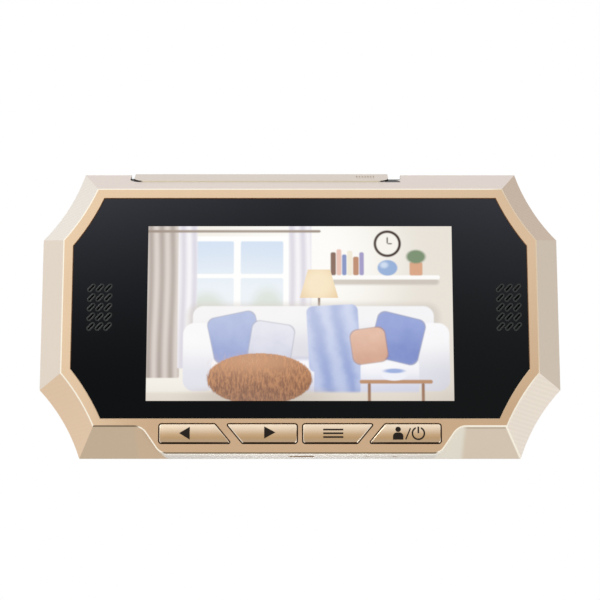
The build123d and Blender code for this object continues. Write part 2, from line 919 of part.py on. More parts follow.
def screw_set(x, z, half_span, seat, radius, length, head_radius, head_height):
    """Four alike screws, driven from the back, whose heads sit at the seat depth."""
    with BuildPart() as screws:
        with BuildSketch(at_depth(seat)):
            with Locations((0, z)):
                with GridLocations(2 * x, 2 * half_span, 2, 2):
                    Circle(radius)
        extrude(amount=length)
        with BuildSketch(at_depth(seat + head_height)):
            with Locations((0, z)):
                with GridLocations(2 * x, 2 * half_span, 2, 2):
                    Circle(head_radius)
        extrude(amount=head_height)
        with BuildSketch(at_depth(seat + head_height)):
            with Locations((0, z)):
                with GridLocations(2 * x, 2 * half_span, 2, 2):
                    RegularPolygon(socket_drive_radius, 6)
        extrude(amount=socket_drive_depth, mode=Mode.SUBTRACT)
    return screws.part


# Screws of the clamp frame, the main board and the case
clamp_screws = screw_set(
    clamp_boss_x,
    picture_z,
    clamp_boss_half_span,
    clamp_depth + clamp_thickness,
    small_screw_radius,
    clamp_depth + clamp_thickness - floor_depth,
    small_screw_head_radius,
    small_screw_head_height,
)
save(clamp_screws, "clamp_screws")
board_screws = screw_set(
    board_boss_x,
    middle_z,
    board_boss_half_span,
    board_back,
    small_screw_radius,
    small_screw_length,
    small_screw_head_radius,
    small_screw_head_height,
)
save(board_screws, "board_screws")
case_screws = screw_set(
    case_boss_x,
    middle_z,
    case_boss_half_span,
    rear_face_depth - case_screw_seat_depth,
    case_screw_radius,
    case_screw_length,
    case_screw_head_radius,
    case_screw_head_height,
)
save(case_screws, "case_screws")

# Rear cover: canted shell with a recess and hook slots for the wall bracket
rear_solid = rear_body(0)
rear_hollow = rear_body(rear_wall)
with BuildPart() as rear_cover:
    add(rear_solid)
    add(rear_hollow, mode=Mode.SUBTRACT)
    with BuildSketch(at_depth(rear_face_depth)):
        with Locations((0, bracket_middle_z)):
            Rectangle(
                2 * (bracket_half_width + rear_wall),
                bracket_head - bracket_foot + 2 * rear_wall,
            )
    extrude(amount=bracket_recess + rear_wall)
    with BuildSketch(at_depth(rear_face_depth)):
        with Locations((0, bracket_middle_z)):
            RectangleRounded(
                2 * bracket_half_width,
                bracket_head - bracket_foot,
                bracket_corner,
            )
    extrude(amount=bracket_recess, mode=Mode.SUBTRACT)
    with BuildSketch(at_depth(rear_inner_depth)):
        with Locations((0, middle_z)):
            with GridLocations(2 * case_boss_x, 2 * case_boss_half_span, 2, 2):
                Circle(rear_boss_radius)
    extrude(amount=rear_inner_depth - seam_depth)
    with BuildSketch(at_depth(rear_face_depth)):
        with Locations((0, middle_z)):
            with GridLocations(2 * case_boss_x, 2 * case_boss_half_span, 2, 2):
                Circle(case_screw_seat_radius)
    extrude(amount=case_screw_seat_depth, mode=Mode.SUBTRACT)
    with BuildSketch(at_depth(rear_face_depth)):
        with Locations((0, middle_z)):
            with GridLocations(2 * case_boss_x, 2 * case_boss_half_span, 2, 2):
                Circle(screw_hole_radius)
        # Hook slots, the camera socket's window and the vents
        with Locations((0, bracket_middle_z)):
            with GridLocations(2 * hook_half_span_x, 2 * hook_half_span_z, 2, 2):
                SlotOverall(hook_slot_length, hook_slot_width, rotation=90)
        with Locations((0, bracket_middle_z)):
            Rectangle(
                camera_socket_width + 2 * camera_socket_gap,
                camera_socket_height + 2 * camera_socket_gap,
            )
        with Locations((-vent_place, bracket_middle_z), (vent_place, bracket_middle_z)):
            with GridLocations(0, vent_pitch, 1, vent_count):
                SlotOverall(vent_length, vent_width)
    extrude(amount=rear_depth, mode=Mode.SUBTRACT)
    add(lid_cut, mode=Mode.SUBTRACT)
save(rear_cover.part, "rear_cover")

# Top lid: follows the bevel, the band and the rear cant, and stands slightly proud
lid_block = lid_prism(lid_gap, lid_left, lid_right, lid_front_depth)
lid_front_skin = front_body(-lid_proud)
lid_rear_skin = rear_body(-lid_proud)
lid_front_core = front_body(case_wall)
grip_drop = bevel_inset * (bevel_depth - lid_grip_depth) / bevel_depth
grip_plane = Plane(
    origin=(lid_grip_place, rim_y + lid_grip_depth, outline_height - grip_drop + lid_proud),
    x_dir=(1, 0, 0),
    z_dir=(0, -bevel_inset, bevel_depth),
)
with BuildPart() as lid_skin:
    add(lid_front_skin)
    add(lid_rear_skin)
with BuildPart() as lid_core:
    add(lid_front_core)
    split(bisect_by=Plane.XY.offset(lid_under_z), keep=Keep.BOTTOM)
with BuildPart() as top_cover:
    add(lid_block)
    add(lid_skin.part, mode=Mode.INTERSECT)
    add(lid_core.part, mode=Mode.SUBTRACT)
    # Level underside from the battery bay backwards
    level_front = rim_y + bay_depth - seat_gap
    level_back = rim_y + rear_face_depth
    with BuildSketch(Plane.XY.offset(lid_under_z)):
        with BuildLine():
            Polyline(
                (lid_left, level_front),
                (lid_right, level_front),
                (lid_right, level_back),
                (lid_left, level_back),
                close=True,
            )
        make_face()
    extrude(amount=-lid_reach, mode=Mode.SUBTRACT)
    # Grip grooves across the lid's bevel at its right end
    with BuildSketch(grip_plane):
        with GridLocations(lid_grip_pitch, 0, lid_grip_count, 1):
            Rectangle(lid_grip_width, lid_grip_length)
    extrude(amount=-lid_grip_sunk, mode=Mode.SUBTRACT)
save(top_cover.part, "top_cover")

# Battery bay: open at the top, with its back against the rear cover
battery_middle_x = battery_left + battery_width / 2
battery_middle_y = rim_y + (battery_front + battery_back) / 2
bay_thickness = rear_inner_depth - bay_depth
with BuildPart() as battery_bay:
    with BuildSketch(Plane.XY.offset(bay_floor_top - bay_wall)):
        with Locations((battery_middle_x, battery_middle_y)):
            Rectangle(bay_width, bay_thickness)
    extrude(amount=lid_under_z - bay_floor_top + bay_wall)
    with BuildSketch(Plane.XY.offset(bay_floor_top)):
        with Locations((battery_middle_x, battery_middle_y)):
            Rectangle(battery_width + 2 * battery_gap, bay_thickness - 2 * bay_wall)
    extrude(amount=lid_under_z - bay_floor_top, mode=Mode.SUBTRACT)
save(battery_bay.part, "battery_bay")

with BuildPart() as battery_pack:
    with BuildSketch(Plane.XY.offset(battery_foot)):
        with Locations((battery_middle_x, battery_middle_y)):
            RectangleRounded(battery_width, battery_back - battery_front, battery_corner)
    extrude(amount=battery_height)
save(battery_pack.part, "battery_pack")

with BuildPart() as battery_terminals:
    with BuildSketch(Plane.XY.offset(battery_foot - terminal_thickness)):
        with Locations((contact_place, battery_middle_y)):
            with GridLocations(contact_pitch, 0, contact_count, 1):
                Rectangle(contact_width, terminal_length)
    extrude(amount=terminal_thickness)
save(battery_terminals.part, "battery_terminals")

# Battery contacts: bent leaves that stand on the bay's floor
contact_head = battery_foot - terminal_thickness
top_half = contact_top_length / 2
slope_half = top_half + contact_slope_length
foot_half = slope_half + contact_foot_length
leaf_foot = bay_floor_top + contact_thickness
leaf_points = [
    (-foot_half, bay_floor_top),
    (-slope_half, bay_floor_top),
    (-top_half, contact_head - contact_thickness),
    (top_half, contact_head - contact_thickness),
    (slope_half, bay_floor_top),
    (foot_half, bay_floor_top),
    (foot_half, leaf_foot),
    (slope_half, leaf_foot),
    (top_half, contact_head),
    (-top_half, contact_head),
    (-slope_half, leaf_foot),
    (-foot_half, leaf_foot),
]
with BuildPart() as battery_contacts:
    for index in range(contact_count):
        leaf_x = contact_place + (index - (contact_count - 1) / 2) * contact_pitch
        with BuildSketch(Plane.YZ.offset(leaf_x)):
            with BuildLine():
                Polyline(*[(battery_middle_y + y, z) for y, z in leaf_points], close=True)
            make_face()
        extrude(amount=contact_width / 2, both=True)
save(battery_contacts.part, "battery_contacts")

# Speakers: gasket, cone and basket with its magnet, one set behind each grille
gasket_back = floor_depth + speaker_gasket_thickness
cone_back = gasket_back + speaker_cone_thickness
rim_back = cone_back + speaker_rim_thickness
cup_back = cone_back + speaker_cup_depth
magnet_back = cup_back + speaker_magnet_depth
for name, grille_x in GRILLES:
    place = (grille_x, grille_z)
    with BuildPart() as speaker_gasket:
        with BuildSketch(at_depth(gasket_back)):
            with Locations(place):
                Circle(speaker_radius)
                Circle(speaker_radius - speaker_gasket_width, mode=Mode.SUBTRACT)
        extrude(amount=speaker_gasket_thickness)
    save(speaker_gasket.part, "speaker_gasket_" + name)

    with BuildPart() as speaker_cone:
        with BuildSketch(at_depth(cone_back)):
            with Locations(place):
                Circle(speaker_radius)
        extrude(amount=speaker_cone_thickness)
        with BuildSketch(at_depth(cone_back)):
            with Locations(place):
                Circle(speaker_dome_radius)
        extrude(amount=-speaker_dome_height, taper=speaker_dome_slope)
    save(speaker_cone.part, "speaker_cone_" + name)

    with BuildPart() as speaker:
        with BuildSketch(at_depth(rim_back)):
            with Locations(place):
                Circle(speaker_radius)
        extrude(amount=speaker_rim_thickness)
        with BuildSketch(at_depth(cup_back)):
            with Locations(place):
                Circle(speaker_cup_radius)
        extrude(amount=speaker_cup_depth)
        with BuildSketch(at_depth(magnet_back)):
            with Locations(place):
                Circle(speaker_magnet_radius)
        extrude(amount=speaker_magnet_depth)
        with BuildSketch(at_depth(cup_back - speaker_cup_wall)):
            with Locations(place):
                Circle(speaker_cup_radius - speaker_cup_wall)
        extrude(amount=speaker_cup_depth - speaker_cup_wall, mode=Mode.SUBTRACT)
    save(speaker.part, "speaker_" + name)

# Speaker leads: two short bent wires from each speaker's rim to the main board
with BuildPart() as speaker_leads:
    for name, grille_x in GRILLES:
        for offset_x in (-lead_pitch / 2, lead_pitch / 2):
            start_x = grille_x + offset_x
            start_z = grille_z + lead_offset
            with BuildLine():
                route = FilletPolyline(
                    (start_x, rim_y + rim_back, start_z),
                    (start_x, rim_y + rim_back + lead_jog, start_z),
                    (start_x, rim_y + board_depth - lead_jog, start_z + lead_jog),
                    (start_x, rim_y + board_depth, start_z + lead_jog),
                    radius=lead_bend,
                )
            with BuildSketch(Plane(origin=route @ 0, z_dir=route % 0)):
                Circle(lead_radius)
            sweep()
save(speaker_leads.part, "speaker_leads")

# Charging socket in the chin's floor: metal shell and its tongue
with BuildPart() as usb_shell:
    with BuildSketch(Plane.XY.offset(usb_sunk)):
        with Locations((usb_place, usb_y)):
            Rectangle(usb_width, usb_thickness)
    extrude(amount=usb_height)
    fillet(usb_shell.edges().filter_by(Axis.Z), radius=usb_wall)
    with BuildSketch(Plane.XY.offset(usb_sunk)):
        with Locations((usb_place, usb_y)):
            Rectangle(usb_width - 2 * usb_wall, usb_thickness - 2 * usb_wall)
    extrude(amount=usb_height - usb_wall, mode=Mode.SUBTRACT)
save(usb_shell.part, "usb_shell")

with BuildPart() as usb_tongue:
    with BuildSketch(Plane.XY.offset(usb_sunk + usb_tongue_setback)):
        with Locations((usb_place, usb_y)):
            Rectangle(usb_tongue_width, usb_tongue_thickness)
    extrude(amount=usb_height - usb_wall - usb_tongue_setback)
save(usb_tongue.part, "usb_tongue")

# Microphone in its rubber boot, over the sound hole in the chin's floor
boot_inner_foot = chin_floor + boot_height - boot_wall - microphone_height
with BuildPart() as microphone_boot:
    with BuildSketch(Plane.XY.offset(chin_floor)):
        with Locations((microphone_place, microphone_y)):
            Rectangle(microphone_width + 2 * boot_wall, microphone_thickness + 2 * boot_wall)
    extrude(amount=boot_height)
    with BuildSketch(Plane.XY.offset(boot_inner_foot)):
        with Locations((microphone_place, microphone_y)):
            Rectangle(microphone_width, microphone_thickness)
    extrude(amount=microphone_height, mode=Mode.SUBTRACT)
    with BuildSketch(Plane.XY.offset(chin_floor)):
        with Locations((microphone_place, microphone_y)):
            Circle(sound_hole_radius)
    extrude(amount=boot_height - boot_wall - microphone_height, mode=Mode.SUBTRACT)
save(microphone_boot.part, "microphone_boot")

with BuildPart() as microphone:
    with BuildSketch(Plane.XY.offset(boot_inner_foot)):
        with Locations((microphone_place, microphone_y)):
            Rectangle(microphone_width, microphone_thickness)
    extrude(amount=microphone_height)
save(microphone.part, "microphone")

# Reset switch above its pinhole, and its plunger
with BuildPart() as reset_switch:
    with BuildSketch(Plane.XY.offset(reset_foot)):
        with Locations((reset_place, reset_y)):
            Rectangle(reset_width, reset_thickness)
    extrude(amount=reset_height)
    with BuildSketch(Plane.XY.offset(reset_foot)):
        with Locations((reset_place, reset_y)):
            Circle(reset_plunger_radius + plunger_fit)
    extrude(amount=reset_bore_depth, mode=Mode.SUBTRACT)
save(reset_switch.part, "reset_switch")

with BuildPart() as reset_plunger:
    with BuildSketch(Plane.XY.offset(reset_foot - reset_plunger_proud)):
        with Locations((reset_place, reset_y)):
            Circle(reset_plunger_radius)
    extrude(amount=reset_plunger_proud + reset_plunger_sunk)
save(reset_plunger.part, "reset_plunger")

# Camera cable socket: open box that reaches through the rear cover, with its pins
cavity_front = camera_socket_depth - camera_socket_cavity_depth
with BuildPart() as camera_socket:
    with BuildSketch(at_depth(camera_socket_depth)):
        with Locations((0, bracket_middle_z)):
            Rectangle(camera_socket_width, camera_socket_height)
    extrude(amount=camera_socket_depth - board_back)
    with BuildSketch(at_depth(camera_socket_depth)):
        with Locations((0, bracket_middle_z)):
            Rectangle(camera_socket_width - 2 * camera_socket_wall, camera_socket_cavity_height)
    extrude(amount=camera_socket_cavity_depth, mode=Mode.SUBTRACT)
save(camera_socket.part, "camera_socket")

with BuildPart() as camera_pins:
    with BuildSketch(at_depth(cavity_front + pin_length)):
        with Locations((0, bracket_middle_z)):
            with GridLocations(pin_pitch, 0, pin_count, 1):
                Rectangle(pin_size, pin_size)
    extrude(amount=pin_length)
save(camera_pins.part, "camera_pins")

# Memory card socket: its mouth opens upwards under the lid
card_socket_x = card_socket_left + card_socket_width / 2
card_socket_y = rim_y + board_back + card_socket_thickness / 2
card_socket_foot = head_tongue_head - card_socket_height
with BuildPart() as card_socket:
    with BuildSketch(Plane.XY.offset(card_socket_foot)):
        with Locations((card_socket_x, card_socket_y)):
            Rectangle(card_socket_width, card_socket_thickness)
    extrude(amount=card_socket_height)
    with BuildSketch(Plane.XY.offset(head_tongue_head)):
        with Locations((card_socket_x, card_socket_y)):
            Rectangle(card_slot_width, card_slot_thickness)
    extrude(amount=-card_slot_depth, mode=Mode.SUBTRACT)
save(card_socket.part, "card_socket")


def board_block(x, z, width, height, thickness, front, node):
    """Plain rectangular device that lies on the board, with its front face at a depth."""
    with BuildPart() as block:
        with BuildSketch(at_depth(front + thickness)):
            with Locations((x, z)):
                Rectangle(width, height)
        extrude(amount=thickness)
    save(block.part, node)


# Processor, memory chip and display socket
board_block(
    processor_x,
    processor_z,
    processor_size,
    processor_size,
    processor_thickness,
    board_back,
    "processor",
)
board_block(
    memory_x, memory_z, memory_width, memory_height, memory_thickness, board_back, "memory_chip"
)
board_block(
    0,
    display_socket_z,
    display_socket_width,
    display_socket_height,
    display_socket_thickness,
    board_depth - display_socket_thickness,
    "display_socket",
)

# Shield can over the radio and power stages: a thin open tray, upside down on the board
with BuildPart() as shield_can:
    with BuildSketch(at_depth(board_back + shield_thickness)):
        with Locations((shield_x, shield_z)):
            Rectangle(shield_width, shield_height)
    extrude(amount=shield_thickness)
    with BuildSketch(at_depth(board_back + shield_thickness - shield_wall)):
        with Locations((shield_x, shield_z)):
            Rectangle(shield_width - 2 * shield_wall, shield_height - 2 * shield_wall)
    extrude(amount=shield_thickness - shield_wall, mode=Mode.SUBTRACT)
save(shield_can.part, "shield_can")

with BuildPart() as chip_capacitors:
    with BuildSketch(at_depth(board_back + capacitor_thickness)):
        with Locations((processor_x, capacitor_z)):
            with GridLocations(capacitor_pitch, capacitor_pitch / 2, capacitor_columns, capacitor_rows):
                Rectangle(capacitor_width, capacitor_height)
    extrude(amount=capacitor_thickness)
save(chip_capacitors.part, "chip_capacitors")
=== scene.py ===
"""Indoor monitor of a door viewer: finishes, keys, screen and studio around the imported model.

Places are in millimetres in the model's own frame until a mesh is made: x to the right, y to the
back, z up, with the front rim at y = -10.8.
"""

import logging
import math
from dataclasses import dataclass
from enum import Enum
from functools import reduce
from typing import Any, ClassVar, Optional, Sequence, Union

import bmesh
import bpy
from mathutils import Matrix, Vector

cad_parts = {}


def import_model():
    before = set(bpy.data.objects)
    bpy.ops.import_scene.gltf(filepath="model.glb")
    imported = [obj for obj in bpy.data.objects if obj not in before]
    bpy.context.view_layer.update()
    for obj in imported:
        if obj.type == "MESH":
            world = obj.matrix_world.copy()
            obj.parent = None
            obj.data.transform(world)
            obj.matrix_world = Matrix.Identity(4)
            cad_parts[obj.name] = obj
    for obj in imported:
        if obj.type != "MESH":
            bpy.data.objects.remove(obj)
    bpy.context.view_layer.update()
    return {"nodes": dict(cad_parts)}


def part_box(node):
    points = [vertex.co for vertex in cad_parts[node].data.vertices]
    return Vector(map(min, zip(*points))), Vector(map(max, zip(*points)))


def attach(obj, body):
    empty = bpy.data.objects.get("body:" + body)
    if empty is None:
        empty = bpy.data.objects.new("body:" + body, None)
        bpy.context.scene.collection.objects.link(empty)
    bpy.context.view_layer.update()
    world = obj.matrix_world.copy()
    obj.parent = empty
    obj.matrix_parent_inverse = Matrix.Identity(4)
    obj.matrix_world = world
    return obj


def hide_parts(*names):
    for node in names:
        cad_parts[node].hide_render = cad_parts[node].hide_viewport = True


log = logging.getLogger("door_monitor")

Colour = tuple[float, float, float]
Point = tuple[float, float]
Operand = Union["Wire", float, int]
Paint = Union["Wire", Colour]
Values = Optional[dict[Any, Any]]
Objects = list[bpy.types.Object]

METRE = 0.001
RIM_Y = -10.8
KEYS = ("previous", "next", "menu", "power")
SIDES = ("left", "right")


def paint(red: float, green: float, blue: float) -> Colour:
    """Turns a display colour into the linear one that the shaders take.

    Args:
        red: Red, 0 to 255.
        green: Green, 0 to 255.
        blue: Blue, 0 to 255.

    Returns:
        The linear colour.
    """

    def linear(value: float) -> float:
        """Linear value of one display value."""
        share = value / 255
        return share / 12.92 if share <= 0.04045 else ((share + 0.055) / 1.055) ** 2.4

    return linear(red), linear(green), linear(blue)


class Wire:
    """A value in a material's node tree that Python arithmetic can use."""

    def __init__(self, desk: "NodeDesk", socket: bpy.types.NodeSocket) -> None:
        """Wraps an output socket of the desk's tree."""
        self.desk = desk
        self.socket = socket

    def math(self, operation: str, *others: Operand, first: Optional[Operand] = None) -> "Wire":
        """Adds a Math node.

        Args:
            operation: The node's operation.
            others: Values that follow this one.
            first: A value that goes before this one, for reflected operators.

        Returns:
            The node's result.
        """
        values: list[Operand] = [self, *others] if first is None else [first, self, *others]
        return self.desk.wire("Math", {"operation": operation}, dict(enumerate(values)))

    def __add__(self, other: Operand) -> "Wire":
        """Sum."""
        return self.math("ADD", other)

    __radd__ = __add__

    def __sub__(self, other: Operand) -> "Wire":
        """Difference."""
        return self.math("SUBTRACT", other)

    def __rsub__(self, other: Operand) -> "Wire":
        """Difference from a number."""
        return self.math("SUBTRACT", first=other)

    def __mul__(self, other: Operand) -> "Wire":
        """Product."""
        return self.math("MULTIPLY", other)

    __rmul__ = __mul__

    def __truediv__(self, other: Operand) -> "Wire":
        """Quotient."""
        return self.math("DIVIDE", other)

    def __neg__(self) -> "Wire":
        """Value with its sign turned."""
        return self.math("MULTIPLY", -1.0)

    def __abs__(self) -> "Wire":
        """Size without the sign."""
        return self.math("ABSOLUTE")

    def __pow__(self, power: float) -> "Wire":
        """Power."""
        return self.math("POWER", power)

    def low(self, other: Operand) -> "Wire":
        """The smaller of two values."""
        return self.math("MINIMUM", other)

    def high(self, other: Operand) -> "Wire":
        """The larger of two values."""
        return self.math("MAXIMUM", other)

    def sine(self) -> "Wire":
        """Sine of the value."""
        return self.math("SINE")

    def wave(self) -> "Wire":
        """Sine of the value, moved to run from 0 to 1."""
        return self.sine() * 0.5 + 0.5

    def part(self) -> "Wire":
        """What is left of the value after its whole number."""
        return self.math("FRACT")

    def whole(self) -> "Wire":
        """Whole number below the value."""
        return self.math("FLOOR")

    def rise(self, start: float, end: float) -> "Wire":
        """Soft step.

        Args:
            start: Value at which the step is 0.
            end: Value at which it is 1; below start for a falling step.

        Returns:
            The step, from 0 to 1.
        """
        return self.desk.wire("MapRange", {"interpolation_type": "SMOOTHSTEP"}, {0: self, 1: start, 2: end})

    def band(self, middle: float, half: float, soft: float) -> "Wire":
        """Soft stripe about a value.

        Args:
            middle: Value at the stripe's middle.
            half: Half of its width.
            soft: Width over which each edge fades.

        Returns:
            The stripe, from 0 to 1.
        """
        return abs(self - middle).rise(half + soft, half)

    def between(self, start: float, end: float, soft: float) -> "Wire":
        """Soft stripe from a start to an end, whose edges fade inwards over the soft width."""
        return self.rise(start, start + soft) * self.rise(end, end - soft)


def union(*masks: Wire) -> Wire:
    """Mask of what any of several masks covers."""
    return reduce(Wire.high, masks)


class NodeDesk:
    """Node tree of one material, with the calls that fill it."""

    def __init__(self, name: str, tree: Optional[bpy.types.NodeTree] = None) -> None:
        """Starts an empty material, or takes over the tree of something else.

        Args:
            name: Name of the finish.
            tree: Tree to fill instead of a new material's.
        """
        if tree is None:
            self.material = bpy.data.materials.new(name)
            self.material.use_nodes = True
            tree = self.material.node_tree
        self.tree = tree
        self.tree.nodes.clear()
        self.coordinates: Optional[bpy.types.Node] = None

    def node(self, kind: str, settings: Values = None, sockets: Values = None) -> bpy.types.Node:
        """Adds one node.

        Args:
            kind: Node type, without its ShaderNode prefix.
            settings: Attributes to set first; "stops" fills a colour ramp.
            sockets: Numbers, colours or wires by socket name or index.

        Returns:
            The new node.
        """
        node = self.tree.nodes.new("ShaderNode" + kind)
        for name, value in (settings or {}).items():
            if name == "stops":
                elements = node.color_ramp.elements
                elements.remove(elements[-1])
                elements[0].position = value[0][0]
                elements[0].color = (*value[0][1], 1.0)
                for place, colour in value[1:]:
                    elements.new(place).color = (*colour, 1.0)
            else:
                setattr(node, name, value)
        for key, value in (sockets or {}).items():
            if isinstance(value, Wire):
                self.tree.links.new(value.socket, node.inputs[key])
            elif isinstance(value, tuple) and len(value) == 3 and node.inputs[key].type == "RGBA":
                node.inputs[key].default_value = (*value, 1.0)
            else:
                node.inputs[key].default_value = value
        return node

    def wire(
        self, kind: str, settings: Values = None, sockets: Values = None, output: Union[int, str] = 0
    ) -> Wire:
        """Adds one node, as node does, and wraps one of its outputs."""
        return Wire(self, self.node(kind, settings, sockets).outputs[output])

    def end(self, shader: bpy.types.Node, kind: str = "OutputMaterial") -> None:
        """Joins a shader to the tree's output."""
        self.tree.links.new(shader.outputs[0], self.node(kind).inputs[0])

    def coordinate(self, name: str) -> Wire:
        """One output of the shared Texture Coordinate node."""
        if self.coordinates is None:
            self.coordinates = self.node("TexCoord")
        return Wire(self, self.coordinates.outputs[name])

    def split(self, vector: Wire) -> tuple[Wire, Wire, Wire]:
        """The three parts of a vector."""
        node = self.node("SeparateXYZ", None, {0: vector})
        return Wire(self, node.outputs[0]), Wire(self, node.outputs[1]), Wire(self, node.outputs[2])

    def axes(self) -> tuple[Wire, Wire, Wire]:
        """x, y and z on the model in millimetres."""
        sockets = {0: self.coordinate("Object"), "Scale": 1 / METRE}
        return self.split(self.wire("VectorMath", {"operation": "SCALE"}, sockets))

    def facing(self) -> tuple[Wire, Wire, Wire]:
        """Parts of the surface's own normal."""
        return self.split(self.coordinate("Normal"))

    def length(self, first: Operand, second: Operand) -> Wire:
        """Length of the vector that two values make."""
        joined = self.wire("CombineXYZ", None, {0: first, 1: second, 2: 0.0})
        return self.wire("VectorMath", {"operation": "LENGTH"}, {0: joined}, "Value")

    def _steps(self, sizes: Sequence[float]) -> Wire:
        """Place on the model counted in steps of these sizes, in millimetres along x, y and z."""
        scale = tuple(1 / (METRE * size) for size in sizes)
        return self.wire("VectorMath", {"operation": "MULTIPLY"}, {0: self.coordinate("Object"), 1: scale})

    def noise(
        self, size: float, detail: float = 3.0, rough: float = 0.5, stretch: Sequence[float] = (1, 1, 1)
    ) -> Wire:
        """Soft noise over the surface.

        Args:
            size: Size of its largest spots in millimetres.
            detail: Number of finer layers.
            rough: Weight of the finer layers.
            stretch: How much longer the spots are along x, y and z.

        Returns:
            The noise, from 0 to 1.
        """
        steps = self._steps([size * factor for factor in stretch])
        sockets = {"Vector": steps, "Scale": 1.0, "Detail": detail, "Roughness": rough}
        return self.wire("TexNoise", None, sockets)

    def cells(self, size: float) -> Wire:
        """Distance to the nearest of scattered points that stand a size apart, from 0 to about 1."""
        return self.wire("TexVoronoi", None, {"Vector": self._steps([size] * 3), "Scale": 1.0})

    def blend(self, first: Paint, second: Paint, share: Operand) -> Wire:
        """Mix of two colours.

        Args:
            first: Colour where the share is 0.
            second: Colour where it is 1.
            share: The mask.

        Returns:
            The mixed colour.
        """
        return self.wire("Mix", {"data_type": "RGBA"}, {0: share, 6: first, 7: second}, 2)

    def tint(self, colour: Paint, level: Operand) -> Wire:
        """Colour made darker or brighter by a level around 1."""
        if not isinstance(colour, Wire):
            colour = self.wire("CombineXYZ", None, dict(enumerate(colour)))
        return self.wire("VectorMath", {"operation": "SCALE"}, {0: colour, "Scale": level})

    def relief(self, height: Wire, depth: float) -> Wire:
        """Normal bent by a relief whose height of 1 is the depth in millimetres."""
        return self.wire("Bump", None, {"Strength": 1.0, "Distance": depth * METRE, "Height": height})

    def surface(
        self, base: Paint, rough: Operand, metal: Operand = 0.0, **sockets: Any
    ) -> bpy.types.Material:
        """Ends the tree in a Principled shader.

        Args:
            base: Base colour.
            rough: Roughness.
            metal: Metallic share.
            sockets: Other sockets, with underscores for the spaces of their names.

        Returns:
            The finished material.
        """
        values: dict[Any, Any] = {"Base Color": base, "Roughness": rough, "Metallic": metal}
        values.update({name.replace("_", " "): value for name, value in sockets.items()})
        self.end(self.node("BsdfPrincipled", None, values))
        return self.material


class Canvas:
    """Flat picture that is laid down shape by shape, from the back to the front, in display colours."""

    def __init__(
        self, desk: NodeDesk, across: Wire, up: Wire, soft: float, ground: Colour = (255, 255, 255)
    ) -> None:
        """Starts a picture.

        Args:
            desk: Desk that the nodes go to.
            across: Place across the picture.
            up: Place up the picture.
            soft: How far the edges of shapes fade.
            ground: Its ground colour.
        """
        self.desk = desk
        self.across = across
        self.up = up
        self.soft = soft
        self.colour: Paint = paint(*ground)

    def _local(self, middle: Point, turn: float) -> tuple[Wire, Wire]:
        """Place seen from a shape's middle and turned by its angle in degrees."""
        across, up = self.across - middle[0], self.up - middle[1]
        if not turn:
            return across, up
        cosine, sine = math.cos(math.radians(turn)), math.sin(math.radians(turn))
        return across * cosine + up * sine, up * cosine - across * sine

    def box(
        self, middle: Point, half: Point, corner: float = 0.05, turn: float = 0.0, soft: float = 0.0
    ) -> Wire:
        """Mask of a box with rounded corners.

        Args:
            middle: Its middle.
            half: Half of its width and height.
            corner: Radius of its corners.
            turn: Angle in degrees.
            soft: Fade of its edge, or 0 for the canvas's own.

        Returns:
            The mask.
        """
        fade = soft or self.soft
        corner = max(corner, fade * 2)
        across, up = self._local(middle, turn)
        wide = (abs(across) - (half[0] - corner)).high(0.0)
        tall = (abs(up) - (half[1] - corner)).high(0.0)
        return self.desk.length(wide, tall).rise(corner + fade, corner - fade)

    def disc(self, middle: Point, half: Point, soft: float = 0.0) -> Wire:
        """Mask of an upright ellipse, with the same arguments as box."""
        fade = (soft or self.soft) / min(half)
        across, up = self._local(middle, 0.0)
        return self.desk.length(across / half[0], up / half[1]).rise(1 + fade, 1 - fade)

    def mix(self, first: Colour, second: Colour, share: Operand) -> Wire:
        """Mix of two display colours by a mask."""
        return self.desk.blend(paint(*first), paint(*second), share)

    def lay(self, colour: Paint, mask: Operand) -> None:
        """Lays a display colour, or a mix of them, over the picture where the mask is 1."""
        layer = colour if isinstance(colour, Wire) else paint(*colour)
        self.colour = self.desk.blend(self.colour, layer, mask)


